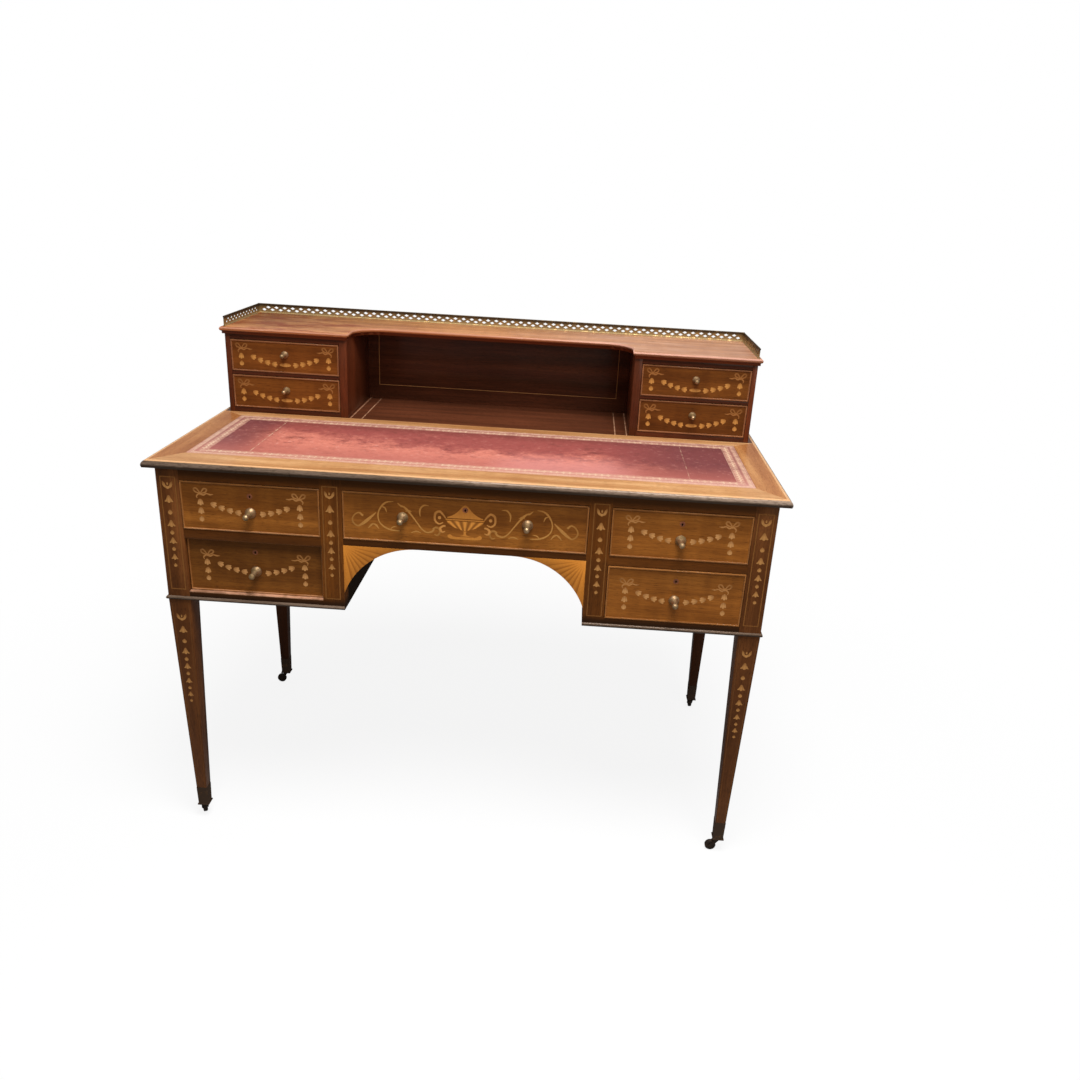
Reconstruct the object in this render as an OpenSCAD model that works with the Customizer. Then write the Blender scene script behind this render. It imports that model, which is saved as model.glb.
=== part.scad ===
// Kneehole writing desk with a raised back of four small drawers round an open pigeonhole.
// Millimetres. The floor is z = 0, the front faces -Y, and the origin lies under the middle.

/* [Desk top] */
// Width of the top over its moulded edge
top_w = 1126; // [1090:1:1300]
// Depth of the top, front nose to back edge
top_d = 600; // [580:1:700]
// Height of the writing surface above the floor
desk_h = 760; // [720:1:800]
// Thickness of the top
top_t = 13; // [12:0.5:20]
// How far the top stands past the case at each side
top_over_side = 20; // [14:1:30]
// How far the top stands past the case at the front
top_over_front = 10; // [8:0.5:16]
// How far the top stands past the case at the back
top_over_back = 4; // [2:0.5:10]
// Width of the moulded edge
edge_w = 10; // [8:0.5:13]
// Radius of the round nose of that edge
edge_r = 8.5; // [6:0.25:9]
// Thickness of the veneered surface and of the leather
surface_t = 2; // [1.5:0.25:3]
// Width of the crossbanding beside the leather
band_side_w = 44; // [30:1:60]
// Width of the crossbanding in front of the leather
band_front_w = 53; // [30:1:70]
// Width of the strip between the leather and the raised back
band_back_w = 31; // [16:1:60]

/* [Case] */
// Height of the rail above the upper drawers
top_rail_h = 21; // [13:0.5:26]
// Height of the upper drawer openings
upper_h = 91; // [80:1:110]
// Height of the rail between the two rows of drawers
mid_rail_h = 18; // [16:0.5:24]
// Height of the lower drawer openings
lower_h = 104; // [90:1:120]
// Height of the rail below the lower drawers
bottom_rail_h = 18; // [14:0.5:24]
// Width of the centre opening
kneehole_w = 434; // [410:1:470]
// Width of the uprights beside the centre opening
stile_w = 39; // [36:1:46]
// Depth of the front rails and uprights from front to back
rail_d = 28; // [26:0.5:34]
// Thickness of the outer side panels
side_t = 18; // [14:0.5:20]
// Thickness of the kneehole side panels
kneehole_side_t = 18; // [14:0.5:20]
// Thickness of the back panels
back_t = 12; // [10:0.5:18]
// Height of the rail under the centre drawer, above the arch
centre_rail_h = 12.5; // [9:0.5:14]
// Radius of the arch corners
arch_r = 140; // [132:1:160]
// How far each arch corner reaches in from the upright
arch_reach = 132; // [110:1:132]
// Thickness of the arch corners
arch_t = 18; // [12:1:24]
// Radius of the bead round the foot of the case
foot_bead_r = 3.5; // [2:0.25:5]

/* [Legs and castors] */
// Width of a leg where it leaves the case
leg_w = 40; // [36:1:46]
// Width of a leg at its foot
leg_foot_w = 18.4; // [17:0.2:24]
// Height of the leg's foot above the floor
leg_foot_h = 30; // [30:0.5:36]
// Height of the brass cup on the foot
cup_h = 42; // [30:1:60]
// Wall of the brass cup, let into the leg
cup_wall = 1.2; // [0.8:0.1:1.6]
// How far the cup stands proud of the leg
cup_proud = 0.4; // [0.2:0.1:0.8]
// Floor of the brass cup
cup_floor = 3; // [2:0.25:4]
// Width of the lip at the bottom of the cup
cup_lip_w = 25; // [24:0.5:30]
// Thickness of that lip
cup_lip_t = 2.5; // [1.5:0.25:3]
// Radius of the castor pin
pin_r = 2.5; // [2:0.1:3]
// Length of the castor pin above the foot
pin_l = 15; // [10:0.5:24]
// Radius of a castor wheel
wheel_r = 11; // [9:0.25:12]
// Width of a castor wheel
wheel_w = 8; // [6:0.25:9]
// Distance of the wheel behind its pin
trail = 13; // [11:0.25:14]
// Radius of the wheel's axle
axle_r = 1.8; // [1.4:0.1:2.4]
// Thickness of the castor's cheeks and plate
cheek_t = 2; // [1.5:0.25:2.5]
// Radius of the castor's round plate
castor_plate_r = 8.5; // [7:0.5:11]
// Directions in which the wheels trail: front left, front right, back left, back right
trail_turns = [120, 180, 180, 90];

/* [Raised back] */
// Depth of the raised back from its front to the back of the case
raised_d = 217; // [180:1:260]
// Thickness of its outer sides
raised_side_t = 10; // [8:0.5:16]
// Width of a small drawer opening
small_w = 223; // [180:1:240]
// Thickness of the uprights beside the pigeonhole
partition_t = 16; // [12:0.5:20]
// Thickness of the board under the lower small drawers
small_base_h = 10.5; // [8:0.5:16]
// Height of the lower small drawer openings
small_lower_h = 68.5; // [55:0.5:80]
// Thickness of the board between the small drawers
small_divider_h = 7; // [6:0.5:12]
// Height of the upper small drawer openings
small_upper_h = 65; // [55:0.5:80]
// Height of the board over the upper small drawers
small_head_h = 10; // [6:0.5:16]
// Thickness of the back of the pigeonhole
raised_back_t = 16; // [8:0.5:20]
// Thickness of the shelf
shelf_t = 14; // [12:0.5:18]
// How far the shelf stands out at its front and ends
shelf_over = 8; // [5:0.5:12]
// Radius of the round nose of the shelf
shelf_r = 4.5; // [3:0.25:5.5]
// Set back of the fillet below that nose
shelf_fillet = 4; // [2:0.25:5]
// Depth of the cut in the front of the shelf
shelf_cut_d = 97; // [70:1:130]
// How far the shelf stands past the uprights into that cut
shelf_cut_over = 4; // [0:0.5:8]
// Radius of the inner corners of that cut
shelf_cut_r = 55; // [30:1:65]

/* [Gallery] */
// Height of the brass gallery
gallery_h = 20.5; // [14:0.5:30]
// Thickness of the pierced brass strip
gallery_t = 1.4; // [1:0.1:2]
// Width of its foot and of its top bead
gallery_rail_w = 3.2; // [2.4:0.1:4]
// Height of its foot
gallery_foot_h = 2.4; // [1.5:0.1:4]
// Distance from one opening to the next
gallery_pitch = 18.3; // [14:0.1:24]
// Width of the metal between two openings
gallery_bar = 2.5; // [1.2:0.1:3]
// How far the gallery stands in from the edge of the shelf
gallery_in = 7; // [6:0.25:12]

/* [Drawers] */
// Free space behind the desk drawers, where their stops stand
drawer_back_gap = 34; // [12:1:120]
// Free space behind the small drawers
small_back_gap = 13; // [2:0.5:40]
// Thickness of the desk drawer fronts
front_t = 20; // [20:0.5:24]
// Thickness of the small drawer fronts
small_front_t = 14; // [12:0.5:18]
// Thickness of the desk drawer sides
drawer_side_t = 9; // [7:0.5:12]
// Thickness of the small drawer sides
small_side_t = 6; // [5:0.5:8]
// Thickness of the drawer bottoms
drawer_bottom_t = 5; // [4:0.5:8]
// Free space at each side of a drawer
side_gap = 0.8; // [0.4:0.1:1.5]
// Free space above a drawer
head_gap = 1.2; // [0.6:0.1:2]
// Free space below a drawer
foot_gap = 0.3; // [0.2:0.1:0.6]
// How far a drawer's sides stop short of the top of its front
side_drop = 6; // [3:0.5:12]
// Height of a drawer bottom above the lower edge of the sides
bottom_rise = 5; // [3:0.5:8]
// Width of the cock bead round a drawer front
bead_w = 3; // [2:0.25:4]
// How far the cock bead stands proud of the front
bead_proud = 1.5; // [1:0.1:2.5]
// Depth of the cock bead's seat in the front
bead_seat = 6; // [4:0.25:7]
// How far the lower left drawer stands in from the others
set_back = 9; // [0:0.5:10]

/* [Knobs] */
// Radius of the ball of a desk knob
knob_r = 8; // [6:0.25:11]
// How far a desk knob stands out from its drawer
knob_reach = 31; // [22:0.5:36]
// Radius of the rose behind a desk knob
rose_r = 8; // [5.5:0.25:10]
// Radius of the ball of a small knob
small_knob_r = 6; // [4.5:0.25:8]
// How far a small knob stands out from its drawer
small_knob_reach = 23.5; // [16:0.5:28]
// Radius of the rose behind a small knob
small_rose_r = 6.5; // [4:0.25:8]
// Thickness of a rose
rose_t = 2; // [1:0.1:2.5]
// Radius of a knob's neck
neck_r = 3; // [2.8:0.1:4]
// Radius of the threaded shank
shank_r = 2.2; // [1.5:0.1:2.6]
// Thickness of the nut behind the front
nut_t = 3.5; // [2:0.25:5]
// Width of that nut across its flats
nut_w = 9; // [7:0.25:11]
// Distance of each centre drawer knob from the middle
centre_knob_x = 110; // [80:1:160]
// How far the centre drawer knobs stand above mid height
centre_knob_rise = 2; // [0:0.5:14]
// How far the knobs of the two banks stand below mid height
bank_knob_drop = 8; // [0:0.5:14]
// How far the small knobs stand above mid height
small_knob_rise = 5.5; // [0:0.5:12]

/* [Locks] */
// Distance of a keyhole below the top of its opening
key_drop = 23; // [20:0.5:28]
// Radius of the brass keyhole plate
plate_r = 5; // [4:0.25:7]
// Thickness of that plate
plate_t = 1.5; // [1:0.1:2.5]
// Radius of the round part of the keyhole
key_r = 1.9; // [1.4:0.1:2.4]
// Width of the slot of the keyhole
key_slot_w = 2; // [1.4:0.1:2.6]
// Length of that slot below the centre of the hole
key_slot_l = 4; // [3:0.25:4.5]
// Width of a lock case
lock_w = 52; // [40:1:60]
// Height of a lock case
lock_h = 36; // [32:1:44]
// Thickness of a lock case
lock_t = 10; // [9:0.5:11]
// Wood left in front of a lock case
lock_skin = 8; // [7.5:0.25:10]
// Width of a lock bolt
bolt_w = 22; // [14:1:28]
// Thickness of a lock bolt
bolt_t = 5; // [3:0.25:6]
// Height of a lock bolt
bolt_h = 16; // [12:0.5:20]
// Travel of a lock bolt
bolt_travel = 6; // [4:0.25:7]
// Free space round a sliding bolt
bolt_gap = 0.3; // [0.2:0.05:0.5]

/* [Hidden] */
$fn = 48;

// Colours
mahogany = "#7a3e1c";
veneer = "#a8612c";
dark_wood = "#4a2010";
edge_wood = "#3a2a26";
banding = "#b4713c";
bead_wood = "#b9793f";
satinwood = "#d08a34";
drawer_lining = "#8c5f38";
red_leather = "#9c3f42";
brass = "#a98f5a";
dull_brass = "#6e5c3a";
steel = "#6c6a66";

// Planes from front to back: the knobs and the back edge of the top lie at equal distances from y = 0
nose_reach = knob_reach - top_over_front;
overall_d = top_d + nose_reach;
back_y = overall_d / 2;
nose_y = back_y - top_d;
face_y = nose_y + top_over_front;
case_back_y = back_y - top_over_back;
panel_y = case_back_y - back_t;
raised_y = case_back_y - raised_d;
raised_panel_y = case_back_y - raised_back_t;
rail_back_y = face_y + rail_d;
drawer_l = panel_y - face_y - drawer_back_gap;
small_drawer_l = raised_panel_y - raised_y - small_back_gap;

// Planes across
top_x = top_w / 2;
case_x = top_x - top_over_side;
leg_in_x = case_x - leg_w;
knee_x = kneehole_w / 2;
stile_x = knee_x + stile_w;
leg_x = case_x - leg_w / 2;
front_leg_y = face_y + leg_w / 2;
back_leg_y = case_back_y - leg_w / 2;
raised_in_x = case_x - raised_side_t;
partition_out_x = raised_in_x - small_w;
partition_in_x = partition_out_x - partition_t;

// The leather, the shelf and the middle of a bank
leather_x = top_x - edge_w - band_side_w;
leather_front_y = nose_y + edge_w + band_front_w;
leather_back_y = raised_y - band_back_w;
shelf_x = case_x + shelf_over;
shelf_front_y = raised_y - shelf_over;
shelf_cut_x = partition_in_x - shelf_cut_over;
shelf_cut_y = shelf_front_y + shelf_cut_d;
bank_x = (stile_x + leg_in_x) / 2;

// Levels
top_under_z = desk_h - top_t;
board_z = desk_h - surface_t;
upper_top_z = top_under_z - top_rail_h;
upper_z = upper_top_z - upper_h;
lower_top_z = upper_z - mid_rail_h;
lower_z = lower_top_z - lower_h;
case_z = lower_z - bottom_rail_h;
crown_z = upper_z - centre_rail_h;
small_lower_z = desk_h + small_base_h;
small_lower_top_z = small_lower_z + small_lower_h;
small_upper_z = small_lower_top_z + small_divider_h;
small_upper_top_z = small_upper_z + small_upper_h;
shelf_z = small_upper_top_z + small_head_h;
shelf_top_z = shelf_z + shelf_t;
gallery_top_z = shelf_top_z + gallery_h;

// Inside the desk case
runner_w = 20;
guide_h = 20;
dust_t = 8;
stop_h = 14;
stop_gap = 0.3;

// Castors
pin_gap = 0.08;
pin_spare = 1;
bore_l = pin_l + pin_spare;
turn_gap = 0.3;
axle_gap = 0.08;
wheel_gap = 0.4;
castor_top_z = leg_foot_h - turn_gap;
castor_plate_z = castor_top_z - cheek_t;
cheek_y = wheel_w / 2 + wheel_gap;

// Drawers
hole_gap = 0.15;
tail_l = 1.5;

// How far a cut runs past the face that it opens
over = 1;

// A block between two opposite corners
module block(low, high) {
    translate(low)
        cube(high - low);
}

// The same shapes at the left and at the right
module both_sides() {
    children();
    mirror([1, 0, 0])
        children();
}

// An outline in x and z, drawn from y0 to y1
module along_y(y0, y1) {
    translate([0, y1, 0])
        rotate([90, 0, 0])
            linear_extrude(y1 - y0)
                children();
}

// An outline whose x runs towards the front and whose y runs up, drawn from x0 to x1
module along_x(x0, x1) {
    translate([x0, 0, 0])
        mirror([0, 1, 0])
            rotate([90, 0, 90])
                linear_extrude(x1 - x0)
                    children();
}

// A round nose, over a small fillet where it is set back less than the radius,
// with its inner lower corner at the origin
module nose_profile(w, t, r, fillet) {
    intersection() {
        square([w, t]);
        union() {
            square([w - r, t]);
            translate([w - r, t - r])
                circle(r);
            square([w - fillet, t - r]);
        }
    }
}

// What the same profile leaves away, for cutting it into an edge
module nose_waste(t, r, fillet) {
    difference() {
        translate([-r, -over])
            square([r + over, t + 2 * over]);
        translate([-r - over, 0])
            nose_profile(r + over, t, r, fillet);
        translate([-r - over, -2 * over])
            square([r + over - fillet, t - r + 2 * over]);
    }
}

// Half width of a leg at a height
function leg_half(z) =
    z >= case_z ? leg_w / 2
    : leg_foot_w / 2 + (leg_w - leg_foot_w) / 2 * (z - leg_foot_h) / (case_z - leg_foot_h);

// A square post whose four sides follow the leg's taper, larger or smaller by grow
module leg_post(z0, z1, grow) {
    levels = z1 > case_z ? [z0, case_z, z1] : [z0, z1];
    outline = concat(
        [for (z = levels) [leg_half(z) + grow, z]],
        [for (i = [len(levels) - 1 : -1 : 0]) [-leg_half(levels[i]) - grow, levels[i]]]
    );
    intersection() {
        along_y(-leg_w, leg_w)
            polygon(outline);
        rotate([0, 0, 90])
            along_y(-leg_w, leg_w)
                polygon(outline);
    }
}

// The board that carries the leather, the veneers and the raised back
module desk_top() {
    color(mahogany)
        block([-top_x + edge_w, nose_y + edge_w, top_under_z], [top_x - edge_w, back_y, board_z]);
}

// Three moulded strips, mitred at the front corners
module top_edge_moulding() {
    in_x = top_x - edge_w;
    in_y = nose_y + edge_w;
    color(edge_wood) {
        intersection() {
            translate([0, in_y, top_under_z])
                along_x(-top_x, top_x)
                    nose_profile(edge_w, top_t, edge_r, edge_r);
            linear_extrude(desk_h + over)
                polygon([[-top_x, nose_y], [top_x, nose_y], [in_x, in_y], [-in_x, in_y]]);
        }
        both_sides()
            intersection() {
                translate([in_x, 0, top_under_z])
                    along_y(nose_y, back_y)
                        nose_profile(edge_w, top_t, edge_r, edge_r);
                linear_extrude(desk_h + over)
                    polygon([[top_x, nose_y], [top_x, back_y], [in_x, back_y], [in_x, in_y]]);
            }
    }
}

// Veneer borders round the leather, and the veneered floor under the raised back
module crossbanding() {
    out_x = top_x - edge_w;
    out_y = nose_y + edge_w;
    color(banding) {
        translate([0, 0, board_z])
            linear_extrude(surface_t) {
                polygon([[-out_x, out_y], [out_x, out_y],
                    [leather_x, leather_front_y], [-leather_x, leather_front_y]]);
            }
        both_sides()
            translate([0, 0, board_z])
                linear_extrude(surface_t)
                    polygon([[out_x, out_y], [out_x, raised_y],
                        [leather_x, leather_back_y], [leather_x, leather_front_y]]);
        translate([0, 0, board_z])
            linear_extrude(surface_t)
                polygon([[-leather_x, leather_back_y], [leather_x, leather_back_y],
                    [out_x, raised_y], [-out_x, raised_y]]);
        block([-out_x, raised_y, board_z], [out_x, back_y, desk_h]);
    }
}

// The leather lining let in flush with its borders
module writing_leather() {
    color(red_leather)
        block([-leather_x, leather_front_y, board_z], [leather_x, leather_back_y, desk_h]);
}

// One leg from under the top to its foot, cut back for the cup and bored for the castor pin
module leg(x, y) {
    cup_top = leg_foot_h + cup_h;
    color(dark_wood)
        translate([x, y, 0])
            difference() {
                union() {
                    leg_post(cup_top, top_under_z, 0);
                    leg_post(leg_foot_h + cup_floor, cup_top, -cup_wall);
                }
                translate([0, 0, leg_foot_h])
                    cylinder(r = pin_r + pin_gap, h = bore_l);
            }
}

// The four brass cups with their lips
module castor_cups() {
    cup_top = leg_foot_h + cup_h;
    color(dull_brass)
        for (x = [-leg_x, leg_x], y = [front_leg_y, back_leg_y])
            translate([x, y, 0])
                difference() {
                    union() {
                        leg_post(leg_foot_h, cup_top, cup_proud);
                        translate([-cup_lip_w / 2, -cup_lip_w / 2, leg_foot_h])
                            cube([cup_lip_w, cup_lip_w, cup_lip_t]);
                    }
                    leg_post(leg_foot_h + cup_floor, cup_top + over, -cup_wall);
                    translate([0, 0, leg_foot_h - over])
                        cylinder(r = pin_r + pin_gap, h = cup_floor + 2 * over);
                }
}

// A castor's pin, plate, cheeks and axle, with the wheel trailing along its own x
module castor(x, y, turn) {
    color(dull_brass)
        translate([x, y, 0])
            rotate([0, 0, turn]) {
                translate([0, 0, castor_plate_z])
                    cylinder(r = pin_r, h = pin_l + turn_gap + cheek_t);
                translate([0, 0, castor_plate_z])
                    cylinder(r = castor_plate_r, h = cheek_t);
                for (side = [-1, 1])
                    translate([0, side * (cheek_y + cheek_t / 2), 0])
                        along_y(-cheek_t / 2, cheek_t / 2) {
                            polygon([[-castor_plate_r / 2, castor_plate_z + cheek_t / 2],
                                [castor_plate_r / 2, castor_plate_z + cheek_t / 2],
                                [trail + 2 * axle_r, wheel_r], [trail - 2 * axle_r, wheel_r]]);
                            translate([trail, wheel_r])
                                circle(2 * axle_r);
                        }
                translate([trail, cheek_y + cheek_t, wheel_r])
                    rotate([90, 0, 0])
                        cylinder(r = axle_r, h = 2 * (cheek_y + cheek_t));
            }
}

// A castor's wheel with eased edges
module wheel(x, y, turn) {
    ease = wheel_w / 6;
    color(brass)
        translate([x, y, 0])
            rotate([0, 0, turn])
                translate([trail, wheel_w / 2, wheel_r])
                    rotate([90, 0, 0])
                        rotate_extrude()
                            polygon([[axle_r + axle_gap, 0], [wheel_r - ease, 0], [wheel_r, ease],
                                [wheel_r, wheel_w - ease], [wheel_r - ease, wheel_w],
                                [axle_r + axle_gap, wheel_w]]);
}

// The two outer sides and the two kneehole sides
module bank_sides() {
    color(veneer)
        both_sides() {
            block([case_x - side_t, face_y + leg_w, case_z], [case_x, case_back_y - leg_w, top_under_z]);
            block([knee_x, rail_back_y, case_z], [knee_x + kneehole_side_t, panel_y, top_under_z]);
        }
}

// The panels behind the two banks and the rail behind the centre drawer
module back_panels() {
    color(dark_wood) {
        both_sides()
            block([knee_x, panel_y, case_z], [leg_in_x, case_back_y, top_under_z]);
        block([-knee_x, panel_y, lower_top_z], [knee_x, case_back_y, top_under_z]);
    }
}

// The mortise over a lock for its bolt, longer where the drawer stands in
module bolt_mortise(x, z, slack) {
    y = face_y + lock_skin + (lock_t - bolt_t) / 2;
    block([x - bolt_w / 2 - bolt_gap, y - bolt_gap, z - over],
        [x + bolt_w / 2 + bolt_gap, y + bolt_t + slack + bolt_gap, z + bolt_travel + bolt_gap]);
}

// Uprights and rails of the front
module front_frame() {
    color(mahogany) {
        difference() {
            block([-leg_in_x, face_y, upper_top_z], [leg_in_x, rail_back_y, top_under_z]);
            for (x = [-bank_x, 0, bank_x])
                bolt_mortise(x, upper_top_z, 0);
        }
        both_sides()
            block([knee_x, face_y, case_z], [stile_x, rail_back_y, upper_top_z]);
        for (side = [-1, 1])
            difference() {
                block([side * bank_x - (leg_in_x - stile_x) / 2, face_y, lower_top_z],
                    [side * bank_x + (leg_in_x - stile_x) / 2, rail_back_y, upper_z]);
                bolt_mortise(side * bank_x, lower_top_z, side < 0 ? set_back : 0);
            }
        both_sides()
            block([stile_x, face_y, case_z], [leg_in_x, rail_back_y, lower_z]);
        block([-knee_x, face_y, crown_z], [knee_x, rail_back_y, upper_z]);
    }
}

// The two quarter arches in the upper corners of the kneehole
module arch_corners() {
    color(satinwood)
        both_sides()
            difference() {
                block([knee_x - arch_reach, face_y, crown_z - arch_r],
                    [knee_x, face_y + arch_t, crown_z]);
                translate([0, -over, 0])
                    along_y(face_y, face_y + arch_t + 2 * over)
                        translate([knee_x - arch_reach, crown_z - arch_r])
                            circle(arch_r, $fn = 180);
            }
}

// One level of a bank: two runners, two guides and a dust board between them
module bank_level(z, h) {
    inner_x = knee_x + kneehole_side_t;
    outer_x = case_x - side_t;
    block([inner_x, rail_back_y, z], [stile_x + runner_w, panel_y, z + h]);
    block([leg_in_x - runner_w, rail_back_y, z], [leg_in_x, panel_y, z + h]);
    block([stile_x + runner_w, rail_back_y, z + (h - dust_t) / 2],
        [leg_in_x - runner_w, panel_y, z + (h + dust_t) / 2]);
    block([inner_x, rail_back_y, z + h], [stile_x, panel_y, z + h + guide_h]);
    block([leg_in_x, face_y + leg_w, z], [outer_x, case_back_y - leg_w, z + h + guide_h]);
}

// A stop block behind a drawer's side
module drawer_stop(x, z, back) {
    block([x, back + stop_gap, z], [x + runner_w, panel_y, z + stop_h]);
}

// Runners, guides, kickers, dust boards and stops inside the case
module drawer_runners() {
    drawer_back_y = face_y + drawer_l;
    centre_dust_z = lower_top_z + (mid_rail_h - dust_t) / 2;
    color(drawer_lining) {
        both_sides() {
            bank_level(lower_top_z, mid_rail_h);
            bank_level(case_z, bottom_rail_h);
            for (x = [knee_x - runner_w, stile_x, leg_in_x - runner_w])
                block([x, rail_back_y, upper_top_z], [x + runner_w, panel_y, top_under_z]);
            block([knee_x - runner_w, rail_back_y, lower_top_z], [knee_x, panel_y, upper_z]);
            drawer_stop(stile_x, upper_z, drawer_back_y);
            drawer_stop(knee_x - runner_w, upper_z, drawer_back_y);
        }
        block([-knee_x + runner_w, rail_back_y, centre_dust_z],
            [knee_x - runner_w, panel_y, centre_dust_z + dust_t]);
        drawer_stop(stile_x, lower_z, drawer_back_y);
        drawer_stop(-stile_x - runner_w, lower_z, drawer_back_y + set_back);
    }
}

// Half round bead round the foot of the case, mitred at the front corners
module foot_bead() {
    color(edge_wood)
        both_sides() {
            intersection() {
                translate([0, face_y, case_z + foot_bead_r])
                    along_x(knee_x, case_x + foot_bead_r)
                        half_disc(foot_bead_r);
                linear_extrude(lower_z)
                    polygon([[knee_x, face_y], [case_x, face_y],
                        [case_x + foot_bead_r, face_y - foot_bead_r], [knee_x, face_y - foot_bead_r]]);
            }
            intersection() {
                translate([case_x, 0, case_z + foot_bead_r])
                    along_y(face_y - foot_bead_r, case_back_y)
                        half_disc(foot_bead_r);
                linear_extrude(lower_z)
                    polygon([[case_x, face_y], [case_x, case_back_y],
                        [case_x + foot_bead_r, case_back_y], [case_x + foot_bead_r, face_y - foot_bead_r]]);
            }
        }
}

// Half a disc on the positive side of x
module half_disc(r) {
    intersection() {
        circle(r);
        translate([0, -r])
            square([r, 2 * r]);
    }
}

// The shelf: a moulded board whose front is cut back in the middle
module shelf() {
    corner_x = shelf_cut_x - shelf_cut_r;
    corner_y = shelf_cut_y - shelf_cut_r;
    color(veneer)
        difference() {
            block([-shelf_x, shelf_front_y, shelf_z], [shelf_x, case_back_y, shelf_top_z]);
            block([-shelf_cut_x, shelf_front_y - over, shelf_z - over],
                [shelf_cut_x, corner_y, shelf_top_z + over]);
            block([-corner_x, corner_y - over, shelf_z - over],
                [corner_x, shelf_cut_y, shelf_top_z + over]);
            both_sides()
                translate([corner_x, corner_y, shelf_z - over])
                    cylinder(r = shelf_cut_r, h = shelf_t + 2 * over);
            translate([0, shelf_front_y, shelf_z])
                along_x(-shelf_x - over, shelf_x + over)
                    nose_waste(shelf_t, shelf_r, shelf_fillet);
            both_sides() {
                translate([shelf_x, 0, shelf_z])
                    along_y(shelf_front_y - over, case_back_y + over)
                        nose_waste(shelf_t, shelf_r, shelf_fillet);
                translate([shelf_cut_x, 0, shelf_z])
                    along_y(shelf_front_y - over, corner_y)
                        mirror([1, 0])
                            nose_waste(shelf_t, shelf_r, shelf_fillet);
                translate([corner_x, corner_y, shelf_z])
                    rotate_extrude(angle = 90)
                        translate([shelf_cut_r, 0])
                            mirror([1, 0])
                                nose_waste(shelf_t, shelf_r, shelf_fillet);
            }
            translate([0, shelf_cut_y, shelf_z])
                along_x(-corner_x, corner_x)
                    nose_waste(shelf_t, shelf_r, shelf_fillet);
        }
}

// Outer sides and the two uprights beside the pigeonhole
module raised_uprights() {
    color(mahogany)
        both_sides() {
            block([raised_in_x, raised_y, desk_h], [case_x, case_back_y, shelf_z]);
            block([partition_in_x, raised_y, desk_h], [partition_out_x, raised_panel_y, shelf_z]);
        }
}

// The dark panel behind the pigeonhole and the small drawers
module raised_back() {
    color(dark_wood)
        block([-raised_in_x, raised_panel_y, desk_h], [raised_in_x, case_back_y, shelf_z]);
}

// Boards under, between and over the small drawers
module raised_boards() {
    levels = [[desk_h, small_lower_z], [small_lower_top_z, small_upper_z], [small_upper_top_z, shelf_z]];
    color(mahogany)
        both_sides()
            for (z = levels)
                block([partition_out_x, raised_y, z[0]], [raised_in_x, raised_panel_y, z[1]]);
}

// One lozenge of the pierced strip, half the bar smaller than its cell on every side
module lozenge(half_w, half_h) {
    reach = half_w * half_h / sqrt(half_w * half_w + half_h * half_h);
    share = 1 - gallery_bar / 2 / reach;
    polygon([[half_w * share, 0], [0, half_h * share], [-half_w * share, 0], [0, -half_h * share]]);
}

// A strip pierced with two rows of lozenges, from the origin along x
module gallery_strip(l) {
    bead_r = gallery_rail_w / 2;
    strip_top = gallery_h - bead_r;
    half_w = gallery_pitch / 2;
    half_h = (strip_top - bead_r - gallery_foot_h) / 3;
    count = floor((l - gallery_bar) / gallery_pitch);
    first = (l - count * gallery_pitch) / 2 + half_w;
    translate([0, bead_r, 0])
        along_y(-gallery_t / 2, gallery_t / 2)
            difference() {
                square([l, strip_top]);
                for (i = [0 : count - 1])
                    translate([first + i * gallery_pitch, gallery_foot_h + half_h])
                        lozenge(half_w, half_h);
                for (i = [0 : count - 2])
                    translate([first + half_w + i * gallery_pitch, gallery_foot_h + 2 * half_h])
                        lozenge(half_w, half_h);
            }
    cube([l, gallery_rail_w, gallery_foot_h]);
    translate([0, bead_r, strip_top])
        rotate([0, 90, 0])
            cylinder(r = bead_r, h = l);
}

// Brass gallery along the back and both ends of the shelf
module gallery() {
    out_x = shelf_x - gallery_in;
    front_y = shelf_front_y + gallery_in;
    color(brass)
        translate([0, 0, shelf_top_z]) {
            translate([-out_x, case_back_y - gallery_rail_w, 0])
                gallery_strip(2 * out_x);
            both_sides()
                translate([out_x, front_y, 0])
                    rotate([0, 0, 90])
                        gallery_strip(case_back_y - gallery_rail_w - front_y);
        }
}

// The room that a drawer has: left, right, lower and upper edges of its opening
function opening(x0, x1, z0, z1) = [x0 + side_gap, x1 - side_gap, z0 + foot_gap, z1 - head_gap];

// A keyhole in plan: a round hole and a slot below it
module keyhole_outline() {
    circle(key_r);
    translate([-key_slot_w / 2, -key_slot_l])
        square([key_slot_w, key_slot_l]);
}

// The four cock beads round a drawer front, mitred at the corners
module cock_beads(o, y0, y1) {
    outer = [[o[0], o[2]], [o[1], o[2]], [o[1], o[3]], [o[0], o[3]]];
    inward = [[1, 1], [-1, 1], [-1, -1], [1, -1]];
    inner = outer + bead_w * inward;
    color(bead_wood)
        for (i = [0 : 3])
            along_y(y0, y1)
                polygon([outer[i], outer[(i + 1) % 4], inner[(i + 1) % 4], inner[i]]);
}

// A drawer front with its cock beads, bored for its knobs and cut for its lock
module drawer_front(o, y, t, knobs, key_z) {
    seat = y + bead_seat;
    color(veneer)
        difference() {
            union() {
                block([o[0] + bead_w, y, o[2] + bead_w], [o[1] - bead_w, seat, o[3] - bead_w]);
                block([o[0], seat, o[2]], [o[1], y + t, o[3]]);
            }
            for (k = knobs)
                translate([k[0], y - over, k[1]])
                    rotate([-90, 0, 0])
                        cylinder(r = shank_r + hole_gap, h = t + 2 * over);
            if (key_z > 0)
                lock_cut(mid_x(o), y, t, o[3], key_z);
        }
    cock_beads(o, y - bead_proud, seat);
}

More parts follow.
